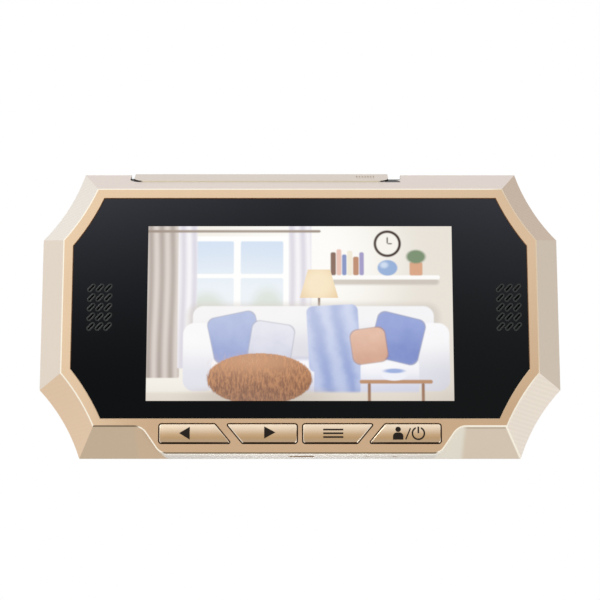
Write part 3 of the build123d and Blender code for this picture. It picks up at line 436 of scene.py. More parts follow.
class RoomPicture:
    """Made-up picture of a bright sitting room, in units of a sixteenth of its width."""

    left = -47.52
    foot = 16.3
    unit = 5.94
    edge = 0.05
    books = (
        (9.75, 0.14, 0.62, (120, 78, 58)),
        (10.05, 0.13, 0.7, (232, 190, 176)),
        (10.33, 0.12, 0.56, (120, 138, 190)),
        (10.62, 0.14, 0.66, (240, 232, 214)),
        (10.94, 0.15, 0.5, (186, 132, 98)),
        (11.24, 0.12, 0.62, (158, 150, 196)),
    )
    shelf_top = 6.65
    clock = (12.6, 8.35)
    cushions = (
        ((4.6, 3.35), (1.25, 1.2), 12.0, (176, 192, 232), (128, 146, 204)),
        ((6.5, 3.05), (1.1, 1.05), -9.0, (240, 240, 247), (196, 200, 222)),
        ((13.1, 3.3), (1.25, 1.2), -14.0, (164, 178, 226), (122, 138, 198)),
        ((11.6, 2.9), (0.9, 0.9), 8.0, (236, 198, 176), (206, 158, 134)),
    )

    def draw(self, desk: NodeDesk, x: Wire, z: Wire) -> Wire:
        """Draws the picture.

        Args:
            desk: Desk of the window's finish.
            x: Place across the front in millimetres.
            z: Place up the front in millimetres.

        Returns:
            The picture's colour.
        """
        across = (x - self.left) / self.unit
        up = (z - self.foot) / self.unit
        canvas = Canvas(desk, across, up, self.edge, (243, 239, 231))
        for layer in (
            self._wall, self._window, self._shelf, self._lamp, self._sofa, self._cushions, self._foreground,
            self._daylight,
        ):
            layer(canvas)
        return canvas.colour

    def _wall(self, canvas: Canvas) -> None:
        """Cream wall, lighter in the middle and greyer at the far side."""
        canvas.lay((229, 222, 211), canvas.across.rise(8.5, 15.5) * 0.8)
        canvas.lay((254, 253, 250), canvas.disc((8.6, 7.6), (3.6, 3.4), soft=2.6) * 0.9)

    def _window(self, canvas: Canvas) -> None:
        """Window with a pale view and curtains."""
        canvas.lay((255, 255, 255), canvas.box((4.7, 6.45), (2.75, 2.3)))
        sky = canvas.mix((232, 240, 248), (205, 222, 243), canvas.up.rise(5.6, 8.6))
        rows = ((7.6, 0.88), (5.5, 1.0))
        panes = union(*(canvas.box((x, z), (1.12, half)) for z, half in rows for x in (3.4, 6.0)))
        canvas.lay(sky, panes)
        trees = (((3.1, 4.9), (0.9, 0.8)), ((6.3, 4.9), (0.8, 1.0)))
        leaf = union(*(canvas.disc(middle, half, soft=0.4) for middle, half in trees))
        canvas.lay((208, 219, 207), leaf * panes * 0.8)
        folds = (canvas.across * 11.0 + (canvas.up * 0.7).sine() * 0.5).wave()
        drape = canvas.mix((214, 204, 197), (172, 160, 152), folds)
        canvas.lay(drape, canvas.box((0.75, 5.6), (0.95, 4.4), 0.1))
        sheer = canvas.mix((244, 242, 247), (214, 210, 224), folds)
        sides = ((2.1, 0.5), (8.0, 0.6))
        canvas.lay(sheer, union(*(canvas.box((x, 5.9), (half, 4.2), 0.1) for x, half in sides)) * 0.92)
        canvas.lay((150, 132, 118), canvas.box((4.2, 9.02), (4.9, 0.07)))

    def _shelf(self, canvas: Canvas) -> None:
        """Wall shelf with books and vessels, and a dark round clock above it."""
        canvas.lay((206, 198, 188), canvas.box((12.3, 6.3), (3.0, 0.16), soft=0.1))
        canvas.lay((252, 251, 249), canvas.box((12.3, 6.54), (3.05, 0.11)))
        for middle, half, tall, colour in self.books:
            canvas.lay(colour, canvas.box((middle, self.shelf_top + tall), (half, tall), 0.03))
        canvas.lay((150, 176, 216), canvas.disc((12.6, 7.05), (0.52, 0.42)))
        canvas.lay((206, 220, 240), canvas.disc((12.42, 7.2), (0.2, 0.16), soft=0.1))
        canvas.lay((218, 168, 136), canvas.box((14.1, 7.0), (0.34, 0.36), 0.1))
        canvas.lay((126, 146, 116), canvas.disc((14.1, 7.65), (0.5, 0.36), soft=0.08))
        dark = (66, 46, 40)
        x, z = self.clock
        canvas.lay(dark, canvas.disc((x, z), (0.72, 0.72)))
        canvas.lay((246, 243, 236), canvas.disc((x, z), (0.58, 0.58)))
        hands = (((x, z + 0.18), (0.035, 0.2)), ((x + 0.13, z), (0.15, 0.03)))
        canvas.lay(dark, union(*(canvas.box(middle, half, 0.02) for middle, half in hands)))

    def _lamp(self, canvas: Canvas) -> None:
        """Standard lamp with a straw-coloured shade, beside the sofa."""
        canvas.lay((120, 84, 60), canvas.box((9.0, 4.2), (0.06, 2.4)))
        lean = abs(canvas.across - 9.0) - (7.4 - canvas.up) * 0.28
        glow = canvas.disc((9.0, 6.2), (0.9, 0.9), soft=0.5)
        shade = lean.rise(0.49, 0.43) * canvas.up.rise(5.42, 5.46) * canvas.up.rise(6.98, 6.94)
        canvas.lay(canvas.mix((232, 201, 154), (247, 228, 192), glow), shade)

    def _sofa(self, canvas: Canvas) -> None:
        """White sofa with a seam down its seat."""
        cloth = canvas.desk.noise(9.0, 2.0, 0.5) * 0.5
        canvas.lay((205, 198, 190), canvas.box((8.7, 3.1), (6.6, 2.05), 0.7, soft=0.25) * 0.6)
        back = canvas.box((8.7, 3.05), (6.3, 1.95), 0.55)
        arms = union(*(canvas.box((x, 2.3), (0.85, 1.8), 0.6) for x in (2.75, 14.95)))
        seat = canvas.box((8.8, 1.25), (5.4, 1.0), 0.35)
        for light, dark, fall, wool, mask in (
            ((247, 246, 247), (214, 213, 224), (4.5, 2.6), 0.35, back),
            ((252, 251, 252), (216, 217, 230), (3.3, 1.2), 0.3, arms),
            ((253, 252, 253), (208, 210, 230), (1.9, 0.6), 0.5, seat),
        ):
            canvas.lay(canvas.mix(light, dark, canvas.up.rise(*fall) * 0.7 + cloth * wool), mask)
        canvas.lay((176, 182, 210), canvas.box((8.8, 1.25), (0.05, 0.95)) * 0.6)
        canvas.lay((186, 190, 216), canvas.box((8.8, 2.22), (5.3, 0.07), soft=0.12) * 0.7)

    def _cushions(self, canvas: Canvas) -> None:
        """Cushions in sky blue, white and peach, and a folded blue throw."""
        shade = canvas.desk.noise(5.0, 3.0, 0.6)
        folds = (canvas.across * 5.2 + canvas.up * 1.1 + shade * 3.0).wave()
        fall = folds * 0.55 + canvas.up.rise(5.0, 1.2) * 0.3
        hung = canvas.box((9.75, 3.3), (1.35, 1.75), 0.35, 3.0)
        over = hung.high(canvas.box((9.95, 1.3), (1.2, 0.95), 0.2))
        canvas.lay(canvas.mix((205, 214, 240), (140, 158, 210), fall), over)
        for middle, half, turn, light, dark in self.cushions:
            hem = canvas.box(middle, (half[0] + 0.05, half[1] + 0.05), 0.42, turn)
            red, green, blue = (value * 0.84 for value in dark)
            canvas.lay((red, green, blue), hem * 0.7)
            fall = (canvas.up - middle[1]).rise(half[1], -half[1]) * 0.5 + shade * 0.6
            canvas.lay(canvas.mix(light, dark, fall), canvas.box(middle, half, 0.42, turn))

    def _foreground(self, canvas: Canvas) -> None:
        """Shaggy ginger footstool, a low table with a bowl, and the rug."""
        desk = canvas.desk
        canvas.lay((232, 224, 212), canvas.up.rise(0.55, 0.35))
        canvas.lay((196, 184, 172), canvas.disc((5.9, 0.2), (3.2, 0.5), soft=0.3) * 0.7)
        tufts = desk.noise(1.1, 3.0, 0.65, (0.5, 1.0, 1.6))
        wool = tufts.rise(0.35, 0.66) * 0.55 + canvas.up.rise(2.4, 0.0) * 0.4
        edge = (tufts - 0.5) * 0.5
        stool = desk.length((canvas.across - 5.9) / 2.75, (canvas.up - 1.15) / 1.35) + edge * 0.22
        canvas.lay(canvas.mix((204, 142, 92), (116, 66, 38), wool), stool.rise(1.03, 0.97))
        shine = canvas.disc((5.5, 2.0), (1.5, 0.36), soft=0.4) * tufts.rise(0.4, 0.7)
        canvas.lay((226, 168, 118), shine * 0.8)
        canvas.lay((190, 146, 112), canvas.box((13.0, 1.0), (1.9, 0.1)))
        canvas.lay((160, 118, 90), union(*(canvas.box((x, 0.42), (0.08, 0.52)) for x in (11.6, 14.4))))
        canvas.lay((240, 241, 248), canvas.disc((12.9, 1.36), (0.66, 0.3)))
        canvas.lay((160, 178, 222), canvas.disc((12.9, 1.57), (0.52, 0.12)))

    def _daylight(self, canvas: Canvas) -> None:
        """Glow that spreads from the window, and a faint shade towards the far corner and the foot."""
        canvas.lay((255, 251, 244), canvas.disc((4.6, 6.2), (5.4, 4.6), soft=4.2) * 0.2)
        canvas.lay((150, 136, 128), canvas.across.rise(12.5, 17.5) * canvas.up.rise(5.0, -1.0) * 0.25)
        canvas.lay((168, 156, 148), canvas.up.rise(1.2, -0.6) * 0.22)


@dataclass
class Spot:
    """Where a shaded point lies on the case and which way its surface faces there."""

    x: Wire
    z: Wire
    wide: Wire
    depth: Wire
    across: Wire
    ahead: Wire
    upward: Wire

    @classmethod
    def on(cls, desk: NodeDesk) -> "Spot":
        """Reads the place and the normal once for a whole finish.

        Args:
            desk: Desk of the finish.

        Returns:
            The spot, in millimetres, with the parts of its normal to the right, to the front and up.
        """
        x, y, z = desk.axes()
        across, back, upward = desk.facing()
        return cls(x, z, abs(x), y - RIM_Y, across, -back, upward)

    def right(self) -> Wire:
        """Mask of the right half."""
        return self.x.rise(-4.0, 4.0)


class Finish:
    """A procedural look that makes its own material."""

    def make(self) -> bpy.types.Material:
        """Makes the material; each finish does it in its own way."""
        raise NotImplementedError


@dataclass(frozen=True)
class GoldFinish(Finish):
    """Champagne anodised metal: satin rim, lined corners, and painted light and shade: a tone for each bevel,
    bright cut edges, sheen by the chin and dark openings.
    """

    name: str = "champagne_satin"
    rim: Colour = paint(220, 193, 161)
    # painted shade: the rim turns darker over the chin and at the right
    rim_painted_shade: Colour = paint(198, 167, 134)
    # painted light and shade: one tone for each bevel facet, lighter or darker by how the light falls on it
    top: Colour = paint(222, 210, 202)
    left: Colour = paint(226, 213, 198)
    right: Colour = paint(213, 198, 180)
    foot_left: Colour = paint(202, 181, 154)
    foot_right: Colour = paint(217, 202, 182)
    # painted sheen on the lower bevels beside the chin, pale at the right and faint at the left
    sheen: Colour = paint(230, 224, 210)
    sheen_faint: Colour = paint(212, 182, 150)
    # painted light and shade on the hollow corners: pale at the upper left and lower right, darker at the
    # upper right
    high_left: Colour = paint(227, 220, 211)
    high_right: Colour = paint(207, 184, 162)
    low_left: Colour = paint(232, 203, 171)
    low_right: Colour = paint(239, 228, 214)
    # cut edges: polished metal painted brighter still as a highlight, a dimmer painted highlight, and painted
    # shade
    polish_highlight: Colour = paint(255, 247, 230)
    dimmed_highlight: Colour = paint(228, 203, 172)
    cut_painted_shade: Colour = paint(130, 113, 91)
    # painted sheen on the chin's swept shoulders, pale at the right and peach at the left
    shoulder_sheen_left: Colour = paint(206, 184, 156)
    shoulder_sheen_right: Colour = paint(228, 224, 211)
    # underside of the chin, painted lighter towards its front edge as painted light
    strip: Colour = paint(203, 195, 184)
    strip_front_lit: Colour = paint(240, 231, 215)
    # painted shade on the walls of the key openings, with painted light on their downward-facing upper walls
    recess_shade: Colour = paint(112, 74, 40)
    recess_head_lit: Colour = paint(240, 200, 154)
    # painted shadow in the top's notches, and painted shade on the walls that look into the case
    notch_shadow: Colour = paint(24, 21, 19)
    interior_shade: Colour = paint(20, 20, 21)
    middle_z: float = 45.65
    edge_cut: float = 0.4
    edge_glow: float = 0.03
    corner_x: float = 69.4
    corner_slope: Point = (0.815, 0.58)
    line_pitch: float = 1.25
    key_middle: float = 6.17
    key_half: float = 3.4
    key_reach: float = 43.7
    # places of the painted shadow in the top's notches and on the bevel in front of the right one
    notch_ends: Point = (-55.5, 33.0)
    lip_ends: Point = (26.8, 32.3)
    lip_depths: Point = (7.1, 8.7)
    top_z: float = 92.35
    bevel: Point = (8.55, 15.0)
    metal: float = 0.55
    rough: float = 0.36

    def _corner(self, spot: Spot) -> Wire:
        """Mask of the four hollow corners' bevels."""
        return (abs(spot.across) * abs(spot.upward)).rise(0.04, 0.12) * spot.wide.rise(58.0, 60.0)

    def _lines(self, spot: Spot, spots: Wire) -> tuple[Wire, Wire]:
        """Coarse and fine lines that cross the hollow corners nearly level."""
        along = spot.z + spot.wide * 0.06
        coarse = (along * (2 * math.pi / self.line_pitch) + spots * 2.0).wave()
        return coarse, (along * (8 * math.pi / self.line_pitch)).wave()

    def _bevels(self, desk: NodeDesk, spot: Spot, lines: tuple[Wire, Wire]) -> Wire:
        """Colour of the bevels and the lined corners, with painted light and shade: each facet has its own
        tone by how the light falls on it.
        """
        right = spot.right()
        upper = spot.upward.rise(-0.1, 0.1)
        sides = desk.blend(self.left, self.right, right)
        feet = desk.blend(self.foot_left, self.foot_right, right)
        # painted shade: a thin darker line just behind the bright cut on the lower right bevel
        painted_shade_line = spot.depth.band(1.0, 0.2, 0.25) * right * 0.35
        feet = desk.blend(feet, self.cut_painted_shade, painted_shade_line)
        # painted sheen on the lower bevels beside the chin's shoulders
        sheen = desk.blend(self.sheen_faint, self.sheen, right)
        feet = desk.blend(feet, sheen, spot.wide.rise(51.8, 49.8) * (0.5 + right * 0.5))
        # painted light and shade: the facet tones chosen by which way each bevel faces
        colour = desk.blend(sides, desk.blend(feet, self.top, upper), abs(spot.upward).rise(0.62, 0.74))
        # painted light and shade: each hollow corner gets the tone that the light falling on it gives
        high = desk.blend(self.high_left, self.high_right, right)
        low = desk.blend(self.low_left, self.low_right, right)
        smooth = (1 - right) * (1 - upper) * 0.7
        level = 0.968 + (lines[0] * 0.045 + lines[1] * 0.02) * (1 - smooth)
        lined = desk.tint(desk.blend(low, high, upper), level)
        return desk.blend(colour, lined, self._corner(spot))

    def _chin(self, desk: NodeDesk, spot: Spot, colour: Wire) -> Wire:
        """Adds the chin's swept shoulders, painted with a sheen, and its flat underside, painted lighter
        towards the front edge, to the bevels' colour.
        """
        upright = abs(spot.ahead).rise(0.25, 0.15) * spot.z.rise(9.5, 9.2)
        wall = desk.blend(self.shoulder_sheen_left, self.shoulder_sheen_right, spot.right())
        shoulders = upright * spot.wide.rise(40.0, 42.0) * spot.wide.rise(53.5, 52.0)
        # painted light: the underside is lighter towards the front edge
        strip = desk.blend(self.strip, self.strip_front_lit, spot.depth.rise(7.5, 1.5))
        under = upright * spot.upward.rise(-0.9, -0.98) * spot.z.rise(0.6, 0.3)
        return desk.blend(desk.blend(colour, wall, shoulders), strip, under)

    def _rim(self, desk: NodeDesk, spot: Spot) -> Wire:
        """Colour of the flat rim, with painted shade that darkens it over the chin and at the right."""
        low = spot.z.rise(42.0, 12.0) * spot.x.rise(-72.0, -44.0)
        side = spot.x.rise(20.0, 72.0) * (0.22 + spot.z.rise(70.0, 12.0) * 0.6)
        return desk.blend(self.rim, self.rim_painted_shade, low.high(side))

    def _edges(self, desk: NodeDesk, spot: Spot, front: Wire) -> tuple[Wire, Wire]:
        """Mask and colour of the cut edges, painted bright as highlights on polished metal, along the lower
        right corner too; the highlight is dimmer at the upper right, and painted shade falls on the downward
        cuts left of the chin's right shoulder and on cuts that face into an opening.
        """
        end = self.edge_cut + self.edge_glow
        tilted = spot.ahead.rise(0.2, 0.36)
        cut = (1 - front) * tilted * spot.depth.rise(end + 0.1, end)
        corner = (spot.wide - self.corner_x) * self.corner_slope[0] + spot.z * self.corner_slope[1]
        foot = corner.band(0.0, 0.2, 0.2) * spot.z.rise(8.9, 8.5) * tilted * (1 - front) * spot.right()
        # painted highlight, dimmer at the upper right, and painted shade on the downward cuts at the chin's
        # foot and lower left
        dim = spot.x.rise(58.0, 66.0) * spot.z.rise(22.0, 28.0)
        tone = desk.blend(self.polish_highlight, self.dimmed_highlight, dim * 0.85)
        shaded = abs(spot.across).rise(0.3, 0.1) * spot.upward.rise(-0.2, -0.4) * spot.x.rise(46.0, 43.0)
        tone = desk.blend(tone, self.cut_painted_shade, shaded)
        # painted shade on cuts that face into an opening, except where they face up
        inward = (spot.across * spot.x + spot.upward * (spot.z - self.middle_z)).rise(4.0, -4.0)
        inner = desk.blend(self.recess_shade, self.rim, spot.upward.rise(-0.1, 0.5))
        return cut.high(foot), desk.blend(tone, inner, inward)

    def _shut(self, desk: NodeDesk, spot: Spot, front: Wire) -> tuple[Wire, Paint]:
        """Mask and colour of painted shade on the walls that look into the case, and of painted shadow in the
        top's sunk notches and on the bevel just in front of the right notch.
        """
        inside = front * spot.depth.rise(0.9, 1.2) * spot.z.rise(2.0, 2.6)
        drop, run = self.bevel
        slope = (1 - spot.depth.low(run) * (1 / run)) * drop
        sunk = (self.top_z - slope - spot.z).rise(0.5, 0.9) * spot.z.rise(82.0, 84.0)
        sunk = sunk * spot.depth.rise(5.0, 7.0) * spot.x.between(*self.notch_ends, 0.2)
        near, far = self.lip_depths
        # painted shadow on the bevel in front of the right notch
        lip = spot.x.between(*self.lip_ends, 0.6) * spot.depth.rise(near, near + 0.4)
        sunk = sunk.high(lip * spot.z.rise(84.0, 85.0) * spot.depth.rise(far + 0.2, far))
        return inside.high(sunk), desk.blend(self.interior_shade, self.notch_shadow, sunk)

    def make(self) -> bpy.types.Material:
        """Makes the material from the surface's place and normal."""
        desk = NodeDesk(self.name)
        spot = Spot.on(desk)
        front = spot.ahead.rise(0.93, 0.98)
        spots = desk.noise(18.0, 3.0, 0.55)
        lines = self._lines(spot, spots)
        colour = self._chin(desk, spot, self._bevels(desk, spot, lines))
        colour = desk.blend(colour, self._rim(desk, spot), front)
        edge, tone = self._edges(desk, spot, front)
        colour = desk.tint(desk.blend(colour, tone, edge), 0.985 + spots * 0.03)
        # painted shade in the key openings, with painted light on their upper walls, and less metal there
        opening = spot.z.band(self.key_middle, self.key_half, 0.1)
        opening = opening * spot.wide.rise(self.key_reach + 0.1, self.key_reach)
        opening = opening * spot.ahead.rise(0.5, 0.3) * spot.depth.rise(0.0, 0.12)
        # painted shade on the walls that look into the case and painted shadow in the notches
        inside, dark = self._shut(desk, spot, front)
        recess_shade = desk.blend(self.recess_shade, self.recess_head_lit, spot.upward.rise(-0.3, -0.7))
        colour = desk.blend(desk.blend(colour, recess_shade, opening), dark, inside)
        grain = desk.noise(0.22, 2.0, 0.6)
        height = grain * (1 - edge) + lines[0] * self._corner(spot)
        rough = (self.rough + (grain - 0.5) * 0.1 + (spots - 0.5) * 0.05) * (1 - edge * 0.55)
        metal = self.metal * (1 - opening.high(inside))
        return desk.surface(colour, rough, metal, Specular_IOR_Level=0.2, Normal=desk.relief(height, 0.006))


@dataclass(frozen=True)
class LidFinish(GoldFinish):
    """Champagne of the top lid: its front edge is painted as a highlight between two rounded ends painted
    with shadow.
    """

    name: str = "champagne_lid"
    # painted tone of the lid's top facet by how the light falls on it, and a painted highlight on its front
    # edge
    top: Colour = paint(214, 203, 193)
    seam_highlight: Colour = paint(226, 215, 190)
    seam_ends: Point = (-50.6, 25.6)
    seam_fade: float = 0.6

    def _shut(self, desk: NodeDesk, spot: Spot, front: Wire) -> tuple[Wire, Paint]:
        """Mask and colour of the lid's upright walls: painted shadow at the rounded ends, painted highlight
        along the edge between them.
        """
        upright = abs(spot.upward).rise(0.35, 0.2) * spot.ahead.rise(-0.1, 0.1) * spot.depth.rise(2.0, 3.0)
        start, end = self.seam_ends
        along = spot.x.between(start - self.seam_fade, end + self.seam_fade, self.seam_fade * 2)
        return upright, desk.blend(self.notch_shadow, self.seam_highlight, along)


@dataclass(frozen=True)
class KeyFinish(Finish):
    """Satin champagne caps with painted shading, brighter at the head, painted highlights and shade on their
    edges, with arrows, three bars, a visitor and a power sign.
    """

    name: str = "champagne_key"
    # painted shading of the crowned cap: darker low down, brighter towards the head
    crown_shading: tuple[tuple[float, Colour], ...] = (
        (3.4, paint(188, 162, 132)),
        (4.1, paint(182, 154, 121)),
        (4.9, paint(186, 153, 112)),
        (5.9, paint(198, 167, 130)),
        (7.2, paint(219, 196, 169)),
        (8.5, paint(236, 217, 192)),
    )
    lowest: float = 3.25
    height: float = 5.85
    # painted highlight on the upper, left and slanted edges, and painted shade on the lower edges
    glint: Colour = paint(252, 241, 222)
    shade: Colour = paint(66, 44, 22)
    # painted shade on the cap's side walls, brown, and near black on the walls that face down
    side: Colour = paint(96, 60, 30)
    side_foot_shade: Colour = paint(22, 12, 3)
    ink: Colour = paint(26, 17, 12)
    ink_edge: float = 0.07
    previous_tip: Point = (-37.1, 6.25)
    previous_base: float = -33.8
    next_tip: Point = (-7.5, 6.47)
    next_base: float = -11.0
    bars_x: float = 10.2
    bars_z: tuple[float, float, float] = (7.35, 6.2, 5.05)
    visitor_x: float = 30.1
    slash: Point = (33.15, 6.05)
    ring: Point = (36.3, 6.2)

    def _signs(self, desk: NodeDesk, x: Wire, z: Wire) -> Wire:
        """Mask of all the printed signs, in millimetres across the front."""
        fade = self.ink_edge
        canvas = Canvas(desk, x, z, fade)
        left = abs(z - self.previous_tip[1]) - (x - self.previous_tip[0]) * 0.606
        right = abs(z - self.next_tip[1]) - (-x + self.next_tip[0]) * 0.543
        visitor, (ring_x, ring_z) = self.visitor_x, self.ring
        ring = abs(desk.length(x - ring_x, z - ring_z) - 1.83).rise(0.25 + fade, 0.25 - fade)
        return union(
            left.rise(fade, -fade) * x.rise(self.previous_base + fade, self.previous_base - fade),
            right.rise(fade, -fade) * x.rise(self.next_base - fade, self.next_base + fade),
            *(canvas.box((self.bars_x, height), (3.1, 0.27), 0.15) for height in self.bars_z),
            canvas.disc((visitor, 7.42), (0.84, 0.84)),
            canvas.box((visitor, 4.6), (1.6, 1.85), 1.15) * z.rise(4.25 - fade, 4.25 + fade),
            canvas.box(self.slash, (0.2, 1.9), 0.15, -23.2),
            ring * (1 - canvas.box((ring_x, 7.9), (0.75, 1.0), 0.1)),
            canvas.box((ring_x, 7.25), (0.25, 1.05), 0.15),
        )

    def make(self) -> bpy.types.Material:
        """Makes the material."""
        desk = NodeDesk(self.name)
        spot = Spot.on(desk)
        ink = self._signs(desk, spot.x, spot.z) * spot.ahead.rise(0.75, 0.85)
        spots = desk.noise(6.0, 3.0, 0.5)
        # painted shading by height on the cap
        stops = [((place - self.lowest) / self.height, colour) for place, colour in self.crown_shading]
        colour = desk.wire("ValToRGB", {"stops": stops}, {0: (spot.z - self.lowest) / self.height})
        colour = desk.tint(colour, 0.98 + spots * 0.04)
        # painted highlights and painted shade on the cap's edges
        slant = (abs(spot.across) * abs(spot.upward)).rise(0.02, 0.08)
        glint = union(spot.upward.rise(0.38, 0.6), spot.across.rise(-0.25, -0.5) * 0.85, slant * 0.85)
        shade = spot.upward.rise(-0.3, -0.55).high(spot.across.rise(0.5, 0.75) * 0.6) * (1 - slant)
        colour = desk.blend(desk.blend(colour, self.glint, glint), self.shade, shade)
        # painted shade on the side walls and on the parts behind the face
        wall = (spot.ahead.rise(0.2, 0.08) * spot.depth.rise(-0.1, 0.05)).high(spot.depth.rise(0.3, 0.6))
        side = desk.blend(self.side, self.side_foot_shade, spot.upward.rise(-0.2, -0.6))
        colour = desk.blend(desk.blend(colour, self.ink, ink), side, wall)
        plain = 1 - ink.high(wall)
        return desk.surface(
            colour,
            0.3 + (spots - 0.5) * 0.08 + ink * 0.25,
            0.4 * plain,
            Specular_IOR_Level=0.15,
            Coat_Weight=0.2 * plain,
            Coat_Roughness=0.12,
            Normal=desk.relief(desk.noise(0.15, 2.0, 0.6) * 0.5 + ink * 0.6, 0.004),
        )


@dataclass(frozen=True)
class WindowFinish(Finish):
    """Gloss black acrylic, with the lit picture behind it and a painted reflection that lightens its upper
    part.
    """

    name: str = "window_gloss"
    # painted reflection: the black is a little lighter towards the right and lighter still over the upper
    # part
    black: Colour = paint(3, 5, 7)
    black_right: Colour = paint(12, 15, 16)
    painted_reflection: Colour = paint(52, 54, 61)
    # painted highlight: the raised rims round the sound slots are painted a lighter grey
    rim: Colour = paint(60, 62, 61)
    half_width: float = 47.52
    foot: float = 16.3
    head: float = 71.5
    edge: float = 0.06
    face_foot: float = 10.85
    face_height: float = 69.6
    face_half: float = 70.9

    def make(self) -> bpy.types.Material:
        """Makes the material."""
        desk = NodeDesk(self.name)
        spot = Spot.on(desk)
        edge = self.edge
        inside = (spot.wide - self.half_width).rise(edge, -edge) * (spot.z - self.foot).rise(-edge, edge)
        inside = inside * (spot.z - self.head).rise(edge, -edge) * spot.depth.rise(0.5, 0.3)
        # painted reflection, stronger towards the top and towards the sides
        up = ((spot.z - self.face_foot) / self.face_height).high(0.0).low(1.0)
        reflection_share = up**2.4 * (0.5 + spot.wide * (0.5 / self.face_half))
        spots = desk.noise(30.0, 2.0, 0.5)
        base = desk.blend(self.black, self.black_right, spot.x.rise(-60.0, 64.0))
        base = desk.blend(base, self.painted_reflection, (reflection_share * (0.94 + spots * 0.12)).low(1.0))
        # painted highlight on the raised slot rims
        base = desk.blend(base, self.rim, spot.depth.rise(0.12, 0.09))
        dust = desk.noise(0.9, 4.0, 0.7).rise(0.68, 0.9)
        return desk.surface(
            desk.blend(base, self.black, inside),
            0.07 + dust * 0.12 + spots * 0.03,
            Specular_IOR_Level=0.06,
            Emission_Color=desk.blend((0.0, 0.0, 0.0), RoomPicture().draw(desk, spot.x, spot.z), inside),
            Emission_Strength=1.0,
            Normal=desk.relief(desk.noise(24.0, 1.0, 0.4), 0.02),
        )


class Grain(Enum):
    """Ways in which a plain part's surface is textured."""

    MOULDED = "fine spark-eroded grain of a moulding"
    BRUSHED = "lines of rolled or brushed sheet"
    TURNED = "rings of a turned face"
    CELLS = "open cells of foam"
    SMOOTH = "faint waves of a smooth skin"


@dataclass(frozen=True)
class PlainFinish(Finish):
    """Finish of a part of one material: its colour varies softly and its surface has a grain.

    spread is how far the colour varies, spot the size of its spots, and size and depth are the grain's.
    """

    name: str
    colour: Colour
    grain: Grain = Grain.MOULDED
    rough: float = 0.5
    metal: float = 0.0
    spread: float = 0.12
    spot: float = 6.0
    size: float = 0.25
    depth: float = 0.02
    gleam: float = 0.5

    def _relief(self, desk: NodeDesk) -> Wire:
        """Height of the grain, from 0 to 1."""
        if self.grain is Grain.CELLS:
            return desk.cells(self.size)
        if self.grain is Grain.TURNED:
            x, _, z = desk.axes()
            return (desk.length(x, z) * (2 * math.pi / self.size)).wave()
        if self.grain is Grain.BRUSHED:
            return desk.noise(self.size, 3.0, 0.6, (30.0, 30.0, 1.0))
        if self.grain is Grain.SMOOTH:
            return desk.noise(self.size * 8, 1.0, 0.4)
        return desk.noise(self.size, 3.0, 0.65)

    def make(self) -> bpy.types.Material:
        """Makes the material."""
        desk = NodeDesk(self.name)
        spots = desk.noise(self.spot, 3.0, 0.55)
        relief = self._relief(desk)
        dirt = desk.noise(self.spot * 0.3, 4.0, 0.7).rise(0.6, 0.85)
        level = 1 - self.spread * 0.5 + spots * self.spread - dirt * self.spread * 0.3
        colour = desk.tint(self.colour, level + (relief - 0.5) * self.spread * 0.4)
        rough = (self.rough + (spots - 0.5) * 0.12 + dirt * 0.06 + (relief - 0.5) * 0.06).high(0.03)
        normal = desk.relief(relief, self.depth)
        return desk.surface(colour, rough, self.metal, Specular_IOR_Level=self.gleam, Normal=normal)


@dataclass(frozen=True)
class BoardFinish(Finish):
    """Circuit board: green solder mask over copper tracks, with plated vias."""

    name: str = "circuit_board"
    mask: Colour = paint(18, 74, 46)
    track: Colour = paint(34, 104, 66)
    plate: Colour = paint(214, 190, 128)
    pitch: float = 1.3
    via_pitches: Point = (4.2, 3.6)

    def make(self) -> bpy.types.Material:
        """Makes the material."""
        desk = NodeDesk(self.name)
        x, _, z = desk.axes()
        bend = (desk.noise(14.0, 0.0, 0.5) * 3).whole()
        lanes = ((x + z * 0.5 + bend * 0.6) / self.pitch).part()
        tracks = lanes.band(0.5, 0.14, 0.06) * desk.noise(20.0, 1.0, 0.5).rise(0.44, 0.48)
        cell = [((place / pitch).part() - 0.5) * pitch for place, pitch in zip((x, z), self.via_pitches)]
        vias = desk.length(*cell).rise(0.42, 0.34) * desk.noise(9.0, 1.0, 0.5).rise(0.5, 0.54)
        colour = desk.blend(desk.blend(self.mask, self.track, tracks), self.plate, vias)
        colour = desk.tint(colour, 0.9 + desk.noise(5.0, 3.0, 0.6) * 0.2)
        rough = 0.38 - vias * 0.12 + tracks * 0.05
        return desk.surface(colour, rough, vias * 0.9, Normal=desk.relief(tracks + vias, 0.03))


@dataclass(frozen=True)
class RibbonFinish(Finish):
    """Flexible circuit: amber film over bright conductors."""

    name: str = "flex_film"
    film: Colour = paint(176, 108, 40)
    copper: Colour = paint(216, 158, 84)
    pitch: float = 0.9

    def make(self) -> bpy.types.Material:
        """Makes the material."""
        desk = NodeDesk(self.name)
        x, _, _ = desk.axes()
        lines = (x / self.pitch).part().band(0.5, 0.22, 0.08)
        spots = desk.noise(3.0, 3.0, 0.6)
        colour = desk.tint(desk.blend(self.film, self.copper, lines), 0.92 + spots * 0.16)
        return desk.surface(colour, 0.3 + spots * 0.1, lines * 0.3, Normal=desk.relief(lines, 0.02))


